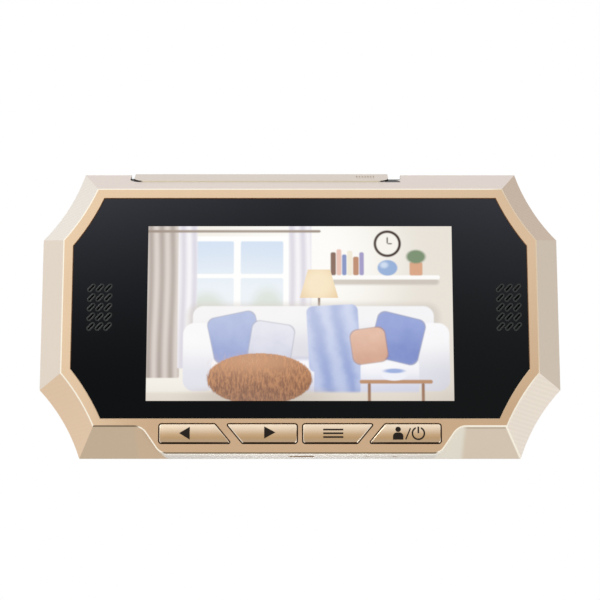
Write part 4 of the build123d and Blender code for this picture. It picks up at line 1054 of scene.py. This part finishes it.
@dataclass(frozen=True)
class BatteryFinish(Finish):
    """Lithium pack in a silver wrap, with a dark band and folded ends."""

    name: str = "battery_wrap"
    wrap: Colour = paint(176, 180, 184)
    band: Colour = paint(40, 52, 74)
    head_band: float = 80.2
    foot_band: float = 52.4
    fade: float = 0.2

    def make(self) -> bpy.types.Material:
        """Makes the material."""
        desk = NodeDesk(self.name)
        _, _, z = desk.axes()
        spots = desk.noise(7.0, 4.0, 0.6)
        creases = desk.noise(1.4, 4.0, 0.7, (6.0, 1.0, 1.0))
        head = z.rise(self.head_band, self.head_band + self.fade)
        ends = head.high(z.rise(self.foot_band, self.foot_band - self.fade))
        colour = desk.blend(desk.tint(self.wrap, 0.88 + spots * 0.24), self.band, ends)
        rough = 0.36 + spots * 0.12 + ends * 0.12
        return desk.surface(colour, rough, 0.5 * (1 - ends), Normal=desk.relief(creases + ends, 0.05))


@dataclass(frozen=True)
class LeadFinish(Finish):
    """Insulation of a pair of leads, one red and one black."""

    name: str = "lead_insulation"
    first: Colour = paint(168, 34, 30)
    second: Colour = paint(26, 26, 28)
    left_x: float = -62.35
    right_x: float = 65.0
    fade: float = 0.05

    def make(self) -> bpy.types.Material:
        """Makes the material."""
        desk = NodeDesk(self.name)
        x, _, _ = desk.axes()
        fade = self.fade
        pick = (x - self.left_x).rise(-fade, fade) * x.rise(fade, -fade)
        pick = pick.high((x - self.right_x).rise(-fade, fade))
        spots = desk.noise(2.0, 3.0, 0.6)
        colour = desk.tint(desk.blend(self.first, self.second, pick), 0.88 + spots * 0.24)
        return desk.surface(colour, 0.42 + spots * 0.1, Normal=desk.relief(desk.noise(0.4), 0.02))


def dress(objects: Sequence[bpy.types.Object], finish: Finish) -> None:
    """Gives objects one finish in all their slots.

    Args:
        objects: CAD nodes or new pieces.
        finish: The finish, whose material they share.
    """
    material = finish.make()
    for item in objects:
        if not item.material_slots:
            item.data.materials.append(material)
        for place in item.material_slots:
            place.material = material


def middle_of(box: Sequence[Sequence[float]]) -> tuple[float, ...]:
    """Middle of a box in millimetres, from its lowest and highest corners in metres."""
    return tuple((low + high) / 2 / METRE for low, high in zip(*box))


def add_object(name: str, data: bpy.types.ID) -> bpy.types.Object:
    """Puts a mesh, a lamp or a camera into the scene."""
    item = bpy.data.objects.new(name, data)
    bpy.context.scene.collection.objects.link(item)
    return item


def mesh_object(name: str, mesh: bmesh.types.BMesh) -> bpy.types.Object:
    """Puts a finished mesh into the scene and frees it."""
    data = bpy.data.meshes.new(name)
    mesh.to_mesh(data)
    mesh.free()
    return add_object(name, data)


def new_piece(
    name: str, mesh: bmesh.types.BMesh, body: str, smooth_below: float = 35.0
) -> bpy.types.Object:
    """Turns a mesh in millimetres into a piece that rides on a body.

    Args:
        name: Name of the piece.
        mesh: Its mesh, which is used up.
        body: Body that it rides on.
        smooth_below: Angle in degrees below which edges are shaded smooth.

    Returns:
        The piece.
    """
    bmesh.ops.scale(mesh, vec=(METRE,) * 3, verts=mesh.verts)
    bmesh.ops.recalc_face_normals(mesh, faces=mesh.faces)
    for face in mesh.faces:
        face.smooth = True
    limit = math.radians(smooth_below)
    for edge in mesh.edges:
        edge.smooth = len(edge.link_faces) == 2 and edge.calc_face_angle(0.0) < limit
    piece = mesh_object(name, mesh)
    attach(piece, body)
    return piece


def circle(count: int) -> list[Point]:
    """Points of a circle of radius 1."""
    return [(math.cos(2 * math.pi * i / count), math.sin(2 * math.pi * i / count)) for i in range(count)]


def bridge(mesh: bmesh.types.BMesh, rings: Sequence[Sequence[Vector]]) -> None:
    """Adds closed rings of equal count, the faces between them and a face on each end.

    Args:
        mesh: Mesh to add to.
        rings: Rings of points, in order.
    """
    made = [[mesh.verts.new(point) for point in ring] for ring in rings]
    for inner, outer in zip(made, made[1:]):
        for index in range(len(inner)):
            following = (index + 1) % len(inner)
            mesh.faces.new((inner[index], inner[following], outer[following], outer[index]))
    mesh.faces.new(made[0])
    mesh.faces.new(list(reversed(made[-1])))


@dataclass
class Unit:
    """A sub-assembly of the model: its nodes, and the finish of each group of them."""

    nodes: dict[str, bpy.types.Object]
    finishes: ClassVar[dict[tuple[str, ...], Finish]] = {}

    def build(self) -> Objects:
        """Dresses the unit's nodes.

        Returns:
            The nodes and any new pieces.
        """
        for names, finish in self.finishes.items():
            dress([self.nodes[name] for name in names], finish)
        return [self.nodes[name] for names in self.finishes for name in names]


@dataclass
class CaseShell(Unit):
    """Gold front bezel, black rear cover and the screws of the whole unit."""

    finishes = {
        ("front_bezel",): GoldFinish(),
        ("rear_cover",): PlainFinish(
            "rear_moulding", paint(30, 31, 33), rough=0.52, spread=0.18, spot=14.0, size=0.3, depth=0.05
        ),
        ("case_screws", "clamp_screws", "board_screws"): PlainFinish(
            "screw_steel", paint(168, 170, 172), Grain.TURNED, rough=0.3, metal=0.95, spread=0.1,
            spot=2.0, size=0.3,
        ),
    }


@dataclass
class WindowUnit(Unit):
    """Black window with its picture, the bead round each sound slot and the cloth behind them."""

    finishes = {
        ("window_panel",): WindowFinish(),
        ("panel_tape",): PlainFinish(
            "tape", paint(24, 24, 25), Grain.SMOOTH, rough=0.6, spread=0.1, spot=4.0, size=0.3, depth=0.01
        ),
    }
    bead_finish: ClassVar[Finish] = PlainFinish(
        "bead_gloss", paint(40, 42, 42), Grain.SMOOTH, rough=0.34, spread=0.15, spot=4.0, size=0.2,
        depth=0.003, gleam=0.22,
    )
    cloth_finish: ClassVar[Finish] = PlainFinish(
        "slot_cloth", paint(9, 9, 10), Grain.CELLS, rough=0.85, spread=0.4, spot=2.0, size=0.35, depth=0.06
    )
    pitch: Point = (2.63, 3.05)
    counts: tuple[int, int] = (3, 5)
    slot_length: float = 2.45
    slot_width: float = 0.62
    slot_angle: float = 47.0
    bead_half: float = 0.27
    bead_height: float = 0.2
    bead_offset: float = 0.21
    bead_steps: tuple[int, int] = (10, 8)
    face_depth: float = 0.2
    cloth_depth: float = 1.75
    cloth_radius: float = 6.2
    cloth_inner: Point = (0.2, 3.0)
    cloth_thickness: float = 0.15

    def _centres(self, side: str) -> list[Point]:
        """Middles of the slots on one side."""
        columns, rows = self.counts
        x, _, z = middle_of(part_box("speaker_" + side))
        return [
            (x + (column - (columns - 1) / 2) * self.pitch[0], z + (row - (rows - 1) / 2) * self.pitch[1])
            for column in range(columns)
            for row in range(rows)
        ]

    def _bead(self, mesh: bmesh.types.BMesh, middle: Point) -> None:
        """Adds the rounded bead that runs round one slot."""
        turn = math.radians(self.slot_angle)
        along = Vector((math.cos(turn), 0.0, math.sin(turn)))
        across = Vector((-math.sin(turn), 0.0, math.cos(turn)))
        centre = Vector((middle[0], RIM_Y + self.face_depth, middle[1]))
        reach = (self.slot_length - self.slot_width) / 2
        line = self.slot_width / 2 + self.bead_offset
        steps, facets = self.bead_steps
        path: list[tuple[Vector, Vector]] = []
        for end in (1, -1):
            for index in range(steps + 1):
                angle = -math.pi / 2 + math.pi * index / steps
                out = (along * math.cos(angle) + across * math.sin(angle)) * end
                path.append((centre + along * reach * end + out * line, out))
        arc = [math.pi * index / facets for index in range(facets + 1)]
        profile = [(math.cos(a) * self.bead_half, math.sin(a) * self.bead_height) for a in arc]
        front = Vector((0.0, -1.0, 0.0))
        rows = [[mesh.verts.new(spot + out * a + front * b) for a, b in profile] for spot, out in path]
        for index, row in enumerate(rows):
            following = rows[(index + 1) % len(rows)]
            for place in range(len(profile) - 1):
                mesh.faces.new((row[place], row[place + 1], following[place + 1], following[place]))
            mesh.faces.new((row[-1], row[0], following[0], following[-1]))

    def _cloth(self, side: str) -> bpy.types.Object:
        """Thin woven disc behind one group of slots."""
        mesh = bmesh.new()
        x, _, z = middle_of(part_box("speaker_" + side))
        middle = Vector((x, RIM_Y + self.cloth_depth, z))
        core, inner = self.cloth_inner
        wide, deep = self.cloth_radius, self.cloth_thickness
        rings = [
            [middle + Vector((a * radius, depth, b * radius)) for a, b in circle(48)]
            for radius, depth in ((core, 0.0), (inner, 0.0), (wide, 0.0), (wide, deep), (core, deep))
        ]
        bridge(mesh, rings)
        return new_piece("slot_cloth_" + side, mesh, "case")

    def build(self) -> Objects:
        """Dresses the window and builds the beads and the cloths.

        Returns:
            The nodes and the new pieces.
        """
        dressed = super().build()
        mesh = bmesh.new()
        for side in SIDES:
            for middle in self._centres(side):
                self._bead(mesh, middle)
        beads = new_piece("slot_beads", mesh, "case", 60.0)
        dress([beads], self.bead_finish)
        cloths = [self._cloth(side) for side in SIDES]
        dress(cloths, self.cloth_finish)
        return [*dressed, beads, *cloths]


@dataclass
class DomedKey:
    """One key cap: a crowned face in a rounded outline, with the lip and the stem behind it."""

    name: str
    corners: list[tuple[float, float, float]]
    stem_x: float
    foot: float
    head: float
    insets: ClassVar[Sequence[float]] = (
        2.75, 2.4, 2.0, 1.6, 1.2, 0.9, 0.7, 0.5, 0.35, 0.26, 0.18, 0.11, 0.05, 0.015, 0.0
    )
    edge_radius: float = 0.35
    crown: float = 0.5
    proud: float = 0.4
    lip_depth: float = 1.7
    lip_reach: float = 0.7
    lip_thickness: float = 0.7
    lip_inset: float = 0.2
    stem_radius: float = 1.5
    stem_length: float = 0.5
    stem_sunk: float = 0.1
    stem_chamfer: float = 0.1
    steps: int = 7
    sharpest: float = 0.04

    def _ring(self, inset: float) -> list[Point]:
        """Outline moved in by inset, with an arc at each corner and always the same count of points."""
        lines: list[tuple[Vector, Vector]] = []
        turned = self.corners[1:] + self.corners[:1]
        for (start_x, start_z, _), (end_x, end_z, _) in zip(self.corners, turned):
            way = Vector((end_x - start_x, end_z - start_z, 0.0)).normalized()
            inward = Vector((-way.y, way.x, 0.0))
            lines.append((Vector((start_x, start_z, 0.0)) + inward * inset, way))
        points: list[Point] = []
        for index, (_, _, corner_radius) in enumerate(self.corners):
            radius = max(corner_radius - inset, self.sharpest)
            before, way_before = lines[index - 1]
            here, way_here = lines[index]
            cross = way_before.x * way_here.y - way_before.y * way_here.x
            gap = here - before
            along = (gap.x * way_here.y - gap.y * way_here.x) / cross
            corner = before + way_before * along
            half_angle = (math.pi - way_before.angle(way_here)) / 2
            inward = (way_here - way_before).normalized()
            centre = corner + inward * (radius / math.sin(half_angle))
            first = Vector((way_before.y, -way_before.x, 0.0))
            last = Vector((way_here.y, -way_here.x, 0.0))
            for step in range(self.steps):
                spot = first.slerp(last, step / (self.steps - 1)) * radius + centre
                points.append((spot.x, spot.y))
        return points

    def _front(self, inset: float) -> list[Vector]:
        """Ring on the crowned face, with the rounded edge near the outline."""
        middle = (self.foot + self.head) / 2
        half = (self.head - self.foot) / 2
        near = max(self.edge_radius - inset, 0.0)
        drop = self.edge_radius - math.sqrt(self.edge_radius**2 - near**2)
        edge = RIM_Y - self.proud + drop
        return [Vector((x, edge + self.crown * ((z - middle) / half) ** 2, z)) for x, z in self._ring(inset)]

    def build(self) -> bpy.types.Object:
        """Builds the cap.

        Returns:
            The piece that stands for the CAD key.
        """
        mesh = bmesh.new()
        rings = [self._front(inset) for inset in self.insets]
        lip = RIM_Y + self.lip_depth
        back = lip + self.lip_thickness
        reach = -self.lip_reach
        for inset, depth in ((0.0, lip), (reach, lip), (reach, back), (self.lip_inset, back)):
            rings.append([Vector((x, depth, z)) for x, z in self._ring(inset)])
        bridge(mesh, rings)
        middle = (self.foot + self.head) / 2
        foot = back - self.stem_sunk
        head = foot + self.stem_length
        profile = (
            (self.stem_radius, foot),
            (self.stem_radius, head),
            (self.stem_radius - self.stem_chamfer, head + self.stem_chamfer),
        )
        stem = [
            [Vector((self.stem_x + a * radius, depth, middle + b * radius)) for a, b in circle(32)]
            for radius, depth in profile
        ]
        bridge(mesh, stem)
        piece = new_piece("cap_" + self.name, mesh, "button_" + self.name, 30.0)
        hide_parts("key_" + self.name)
        return piece


@dataclass
class KeyRow(Unit):
    """The four keys of the chin, the switches behind them, and the reset switch."""

    finishes = {
        (*("switch_" + name for name in KEYS), "reset_switch"): PlainFinish(
            "switch_black", paint(30, 30, 32), rough=0.45, spread=0.15, spot=2.0, size=0.12
        ),
        (*("plunger_" + name for name in KEYS), "reset_plunger"): PlainFinish(
            "plunger", paint(196, 190, 178), Grain.TURNED, rough=0.4, spread=0.1, spot=2.0, depth=0.01
        ),
    }
    foot: float = 3.25
    head: float = 9.1
    half_width: float = 43.2
    outer_slant: Point = (21.35, 26.2)
    inner_slant: Point = (17.65, 22.5)
    middle_edge: float = 0.95
    corner_radius: float = 0.7
    tip_radius: float = 0.3

    def _outline(self, name: str) -> list[tuple[float, float, float]]:
        """Corners of one key with their radii, counter-clockwise as seen in x and z."""
        blunt, tip = self.corner_radius, self.tip_radius
        if name in ("previous", "power"):
            corners = [
                (self.outer_slant[0], self.foot, tip),
                (self.half_width, self.foot, blunt),
                (self.half_width, self.head, blunt),
                (self.outer_slant[1], self.head, blunt),
            ]
        else:
            corners = [
                (self.middle_edge, self.foot, blunt),
                (self.inner_slant[0], self.foot, blunt),
                (self.inner_slant[1], self.head, tip),
                (self.middle_edge, self.head, blunt),
            ]
        if name in ("menu", "power"):
            return corners
        return [(-x, z, radius) for x, z, radius in reversed(corners)]

    def build(self) -> Objects:
        """Dresses the switches and builds the caps.

        Returns:
            The nodes and the caps.
        """
        dressed = super().build()
        caps = []
        for name in KEYS:
            stem_x, _, _ = middle_of(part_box("plunger_" + name))
            caps.append(DomedKey(name, self._outline(name), stem_x, self.foot, self.head).build())
        dress(caps, KeyFinish())
        return [*dressed, *caps]


@dataclass
class DisplayUnit(Unit):
    """Display module behind the window, the frame that clamps it, and the flexible circuits."""

    finishes = {
        ("display_gasket",): PlainFinish(
            "foam", paint(38, 38, 40), Grain.CELLS, rough=0.9, spread=0.3, spot=3.0, size=0.3, depth=0.08
        ),
        ("display_glass",): PlainFinish(
            "display_glass", paint(14, 16, 20), Grain.SMOOTH, rough=0.08, spread=0.1, spot=20.0,
            size=0.6, depth=0.004,
        ),
        ("light_box",): PlainFinish(
            "can_steel", paint(176, 178, 180), Grain.BRUSHED, rough=0.34, metal=0.9, spread=0.1,
            spot=10.0, size=0.2,
        ),
        ("clamp_frame",): PlainFinish(
            "clamp_steel", paint(150, 153, 156), Grain.BRUSHED, rough=0.4, metal=0.9, spread=0.16,
            spot=8.0, size=0.2, depth=0.03,
        ),
        ("display_flex", "key_ribbon"): RibbonFinish(),
    }


@dataclass
class BoardUnit(Unit):
    """Main board, key board and the parts soldered to them."""

    finishes = {
        ("main_board", "key_board"): BoardFinish(),
        ("processor", "memory_chip"): PlainFinish(
            "chip_epoxy", paint(34, 35, 37), rough=0.55, spread=0.16, spot=4.0, size=0.1, depth=0.01
        ),
        ("shield_can", "card_socket", "usb_shell"): PlainFinish(
            "shield_steel", paint(188, 190, 192), Grain.BRUSHED, rough=0.3, metal=0.95, spread=0.1,
            size=0.15, depth=0.015,
        ),
        ("chip_capacitors",): PlainFinish(
            "capacitor", paint(158, 134, 104), Grain.SMOOTH, rough=0.4, metal=0.1, spread=0.2, spot=1.0,
            size=0.1, depth=0.01,
        ),
        ("camera_socket", "display_socket"): PlainFinish(
            "socket_nylon", paint(232, 226, 210), spread=0.08, spot=4.0, size=0.2
        ),
        ("camera_pins", "battery_terminals", "battery_contacts"): PlainFinish(
            "contact_gold", paint(226, 188, 104), Grain.BRUSHED, rough=0.22, metal=1.0, spread=0.1,
            spot=1.5, size=0.1, depth=0.008,
        ),
        ("usb_tongue", "microphone_boot"): PlainFinish(
            "rubber_black", paint(22, 22, 23), rough=0.7, spread=0.15, spot=3.0, size=0.15
        ),
        ("microphone",): PlainFinish(
            "microphone_can", paint(196, 190, 170), Grain.TURNED, rough=0.3, metal=0.9, spread=0.1,
            spot=1.0, size=0.2, depth=0.01,
        ),
    }


@dataclass
class BatteryUnit(Unit):
    """Top lid, the battery under it and the bay that holds the battery."""

    finishes = {
        ("top_cover",): LidFinish(),
        ("battery_pack",): BatteryFinish(),
        ("battery_bay",): PlainFinish("bay_moulding", paint(52, 53, 56), spot=9.0, depth=0.03),
    }


@dataclass
class SpeakerPair(Unit):
    """The two speakers behind the grilles, with their gaskets and leads."""

    finishes = {
        tuple("speaker_" + side for side in SIDES): PlainFinish(
            "speaker_basket", paint(120, 122, 124), Grain.TURNED, rough=0.4, metal=0.8, spot=4.0, size=0.4
        ),
        tuple("speaker_cone_" + side for side in SIDES): PlainFinish(
            "speaker_cone", paint(24, 24, 26), rough=0.6, spread=0.2, spot=3.0, size=0.3, depth=0.03
        ),
        tuple("speaker_gasket_" + side for side in SIDES): PlainFinish(
            "speaker_foam", paint(30, 30, 31), Grain.CELLS, rough=0.9, spread=0.3, spot=2.0, size=0.3,
            depth=0.06,
        ),
        ("speaker_leads",): LeadFinish(),
    }


@dataclass(frozen=True)
class Lamp:
    """One soft round lamp, in millimetres and watts."""

    name: str
    place: tuple[float, float, float]
    size: float
    power: float
    colour: Colour = (1.0, 1.0, 1.0)


@dataclass
class Studio:
    """Camera, pale floor, white surroundings and soft lamps."""

    distance: float = 560.0
    tilt: float = 11.0
    lens: float = 107.96
    sensor: float = 36.0
    target: tuple[float, float, float] = (0.0, RIM_Y, 47.9)
    floor_radius: float = 1400.0
    floor_drop: float = 0.05
    floor_tone: Colour = (0.86, 0.86, 0.855)
    world_level: float = 0.5
    lamps: tuple[Lamp, ...] = (
        Lamp("key_lamp", (-620.0, -700.0, 620.0), 420.0, 6.0, (1.0, 0.985, 0.96)),
        Lamp("bounce_lamp", (350.0, -400.0, -520.0), 300.0, 1.9, (1.0, 0.99, 0.97)),
        Lamp("back_lamp", (0.0, 1150.0, 150.0), 400.0, 4.0),
    )

    def camera(self) -> None:
        """Places the camera a little below the unit, looking up at its front."""
        tilt = math.radians(self.tilt)
        data = bpy.data.cameras.new("front_camera")
        data.lens = self.lens
        data.sensor_width = self.sensor
        data.clip_start = 0.01
        data.clip_end = 20.0
        item = add_object("front_camera", data)
        back = Vector((0.0, -math.cos(tilt), -math.sin(tilt))) * self.distance
        item.location = (Vector(self.target) + back) * METRE
        item.rotation_euler = (math.pi / 2 + tilt, 0.0, 0.0)
        bpy.context.scene.camera = item

    def lights(self) -> None:
        """Hangs the soft lamps, all aimed at the unit."""
        aim = Vector(self.target) * METRE
        for lamp in self.lamps:
            data = bpy.data.lights.new(lamp.name, "AREA")
            data.shape = "DISK"
            data.size = lamp.size * METRE
            data.energy = lamp.power
            data.color = lamp.colour
            item = add_object(lamp.name, data)
            item.location = Vector(lamp.place) * METRE
            item.rotation_euler = (aim - item.location).to_track_quat("-Z", "Y").to_euler()

    def surroundings(self) -> None:
        """White to the eye and to reflections; softer from below and from the right as light."""
        world = bpy.data.worlds.new("white_room")
        world.use_nodes = True
        bpy.context.scene.world = world
        desk = NodeDesk("white_room", world.node_tree)
        across, _, up = desk.split(desk.coordinate("Generated"))
        level = self.world_level + up * 0.08 - across * 0.05
        path = desk.node("LightPath")
        rays = ("Camera", "Glossy", "Transmission")
        seen = union(*(Wire(desk, path.outputs[f"Is {ray} Ray"]) for ray in rays))
        colour = desk.blend(desk.tint((1.0, 0.995, 0.985), level), (1.0, 1.0, 1.0), seen)
        desk.end(desk.node("Background", None, {"Color": colour, "Strength": 1.0}), "OutputWorld")

    def floor(self) -> None:
        """Lays the pale floor, which a camera below it looks through."""
        mesh = bmesh.new()
        bmesh.ops.create_circle(mesh, cap_ends=True, segments=96, radius=self.floor_radius * METRE)
        bmesh.ops.translate(mesh, verts=mesh.verts, vec=(0.0, 0.0, -self.floor_drop * METRE))
        item = mesh_object("studio_floor", mesh)
        item.visible_shadow = item.visible_diffuse = item.visible_glossy = False
        desk = NodeDesk("studio_floor")
        x, y, _ = desk.axes()
        fade = desk.length(x, y).rise(self.floor_radius * 0.35, self.floor_radius * 0.98)
        under = desk.wire("NewGeometry", output="Backfacing") * desk.wire("LightPath", output="Is Camera Ray")
        tone = desk.tint(self.floor_tone, 0.99 + desk.noise(60.0, 3.0, 0.5) * 0.02)
        matte = desk.wire(
            "BsdfPrincipled", None, {"Base Color": tone, "Roughness": 0.7, "Specular IOR Level": 0.2}
        )
        clear = desk.wire("BsdfTransparent")
        desk.end(desk.node("MixShader", None, {0: under.high(fade), 1: matte, 2: clear}))
        item.data.materials.append(desk.material)

    def build(self) -> None:
        """Sets up the whole studio."""
        self.camera()
        self.lights()
        self.surroundings()
        self.floor()
        bpy.context.scene.view_settings.view_transform = "Standard"


def main() -> None:
    """Builds the studio and each sub-assembly in order."""
    logging.basicConfig(level=logging.INFO, format="%(name)s: %(message)s")
    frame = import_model()
    Studio().build()
    for kind in (CaseShell, WindowUnit, KeyRow, DisplayUnit, BoardUnit, BatteryUnit, SpeakerPair):
        for piece in kind(frame["nodes"]).build():
            log.info("%s: %s, %d faces", kind.__name__, piece.name, len(piece.data.polygons))


if __name__ == "__main__":
    main()
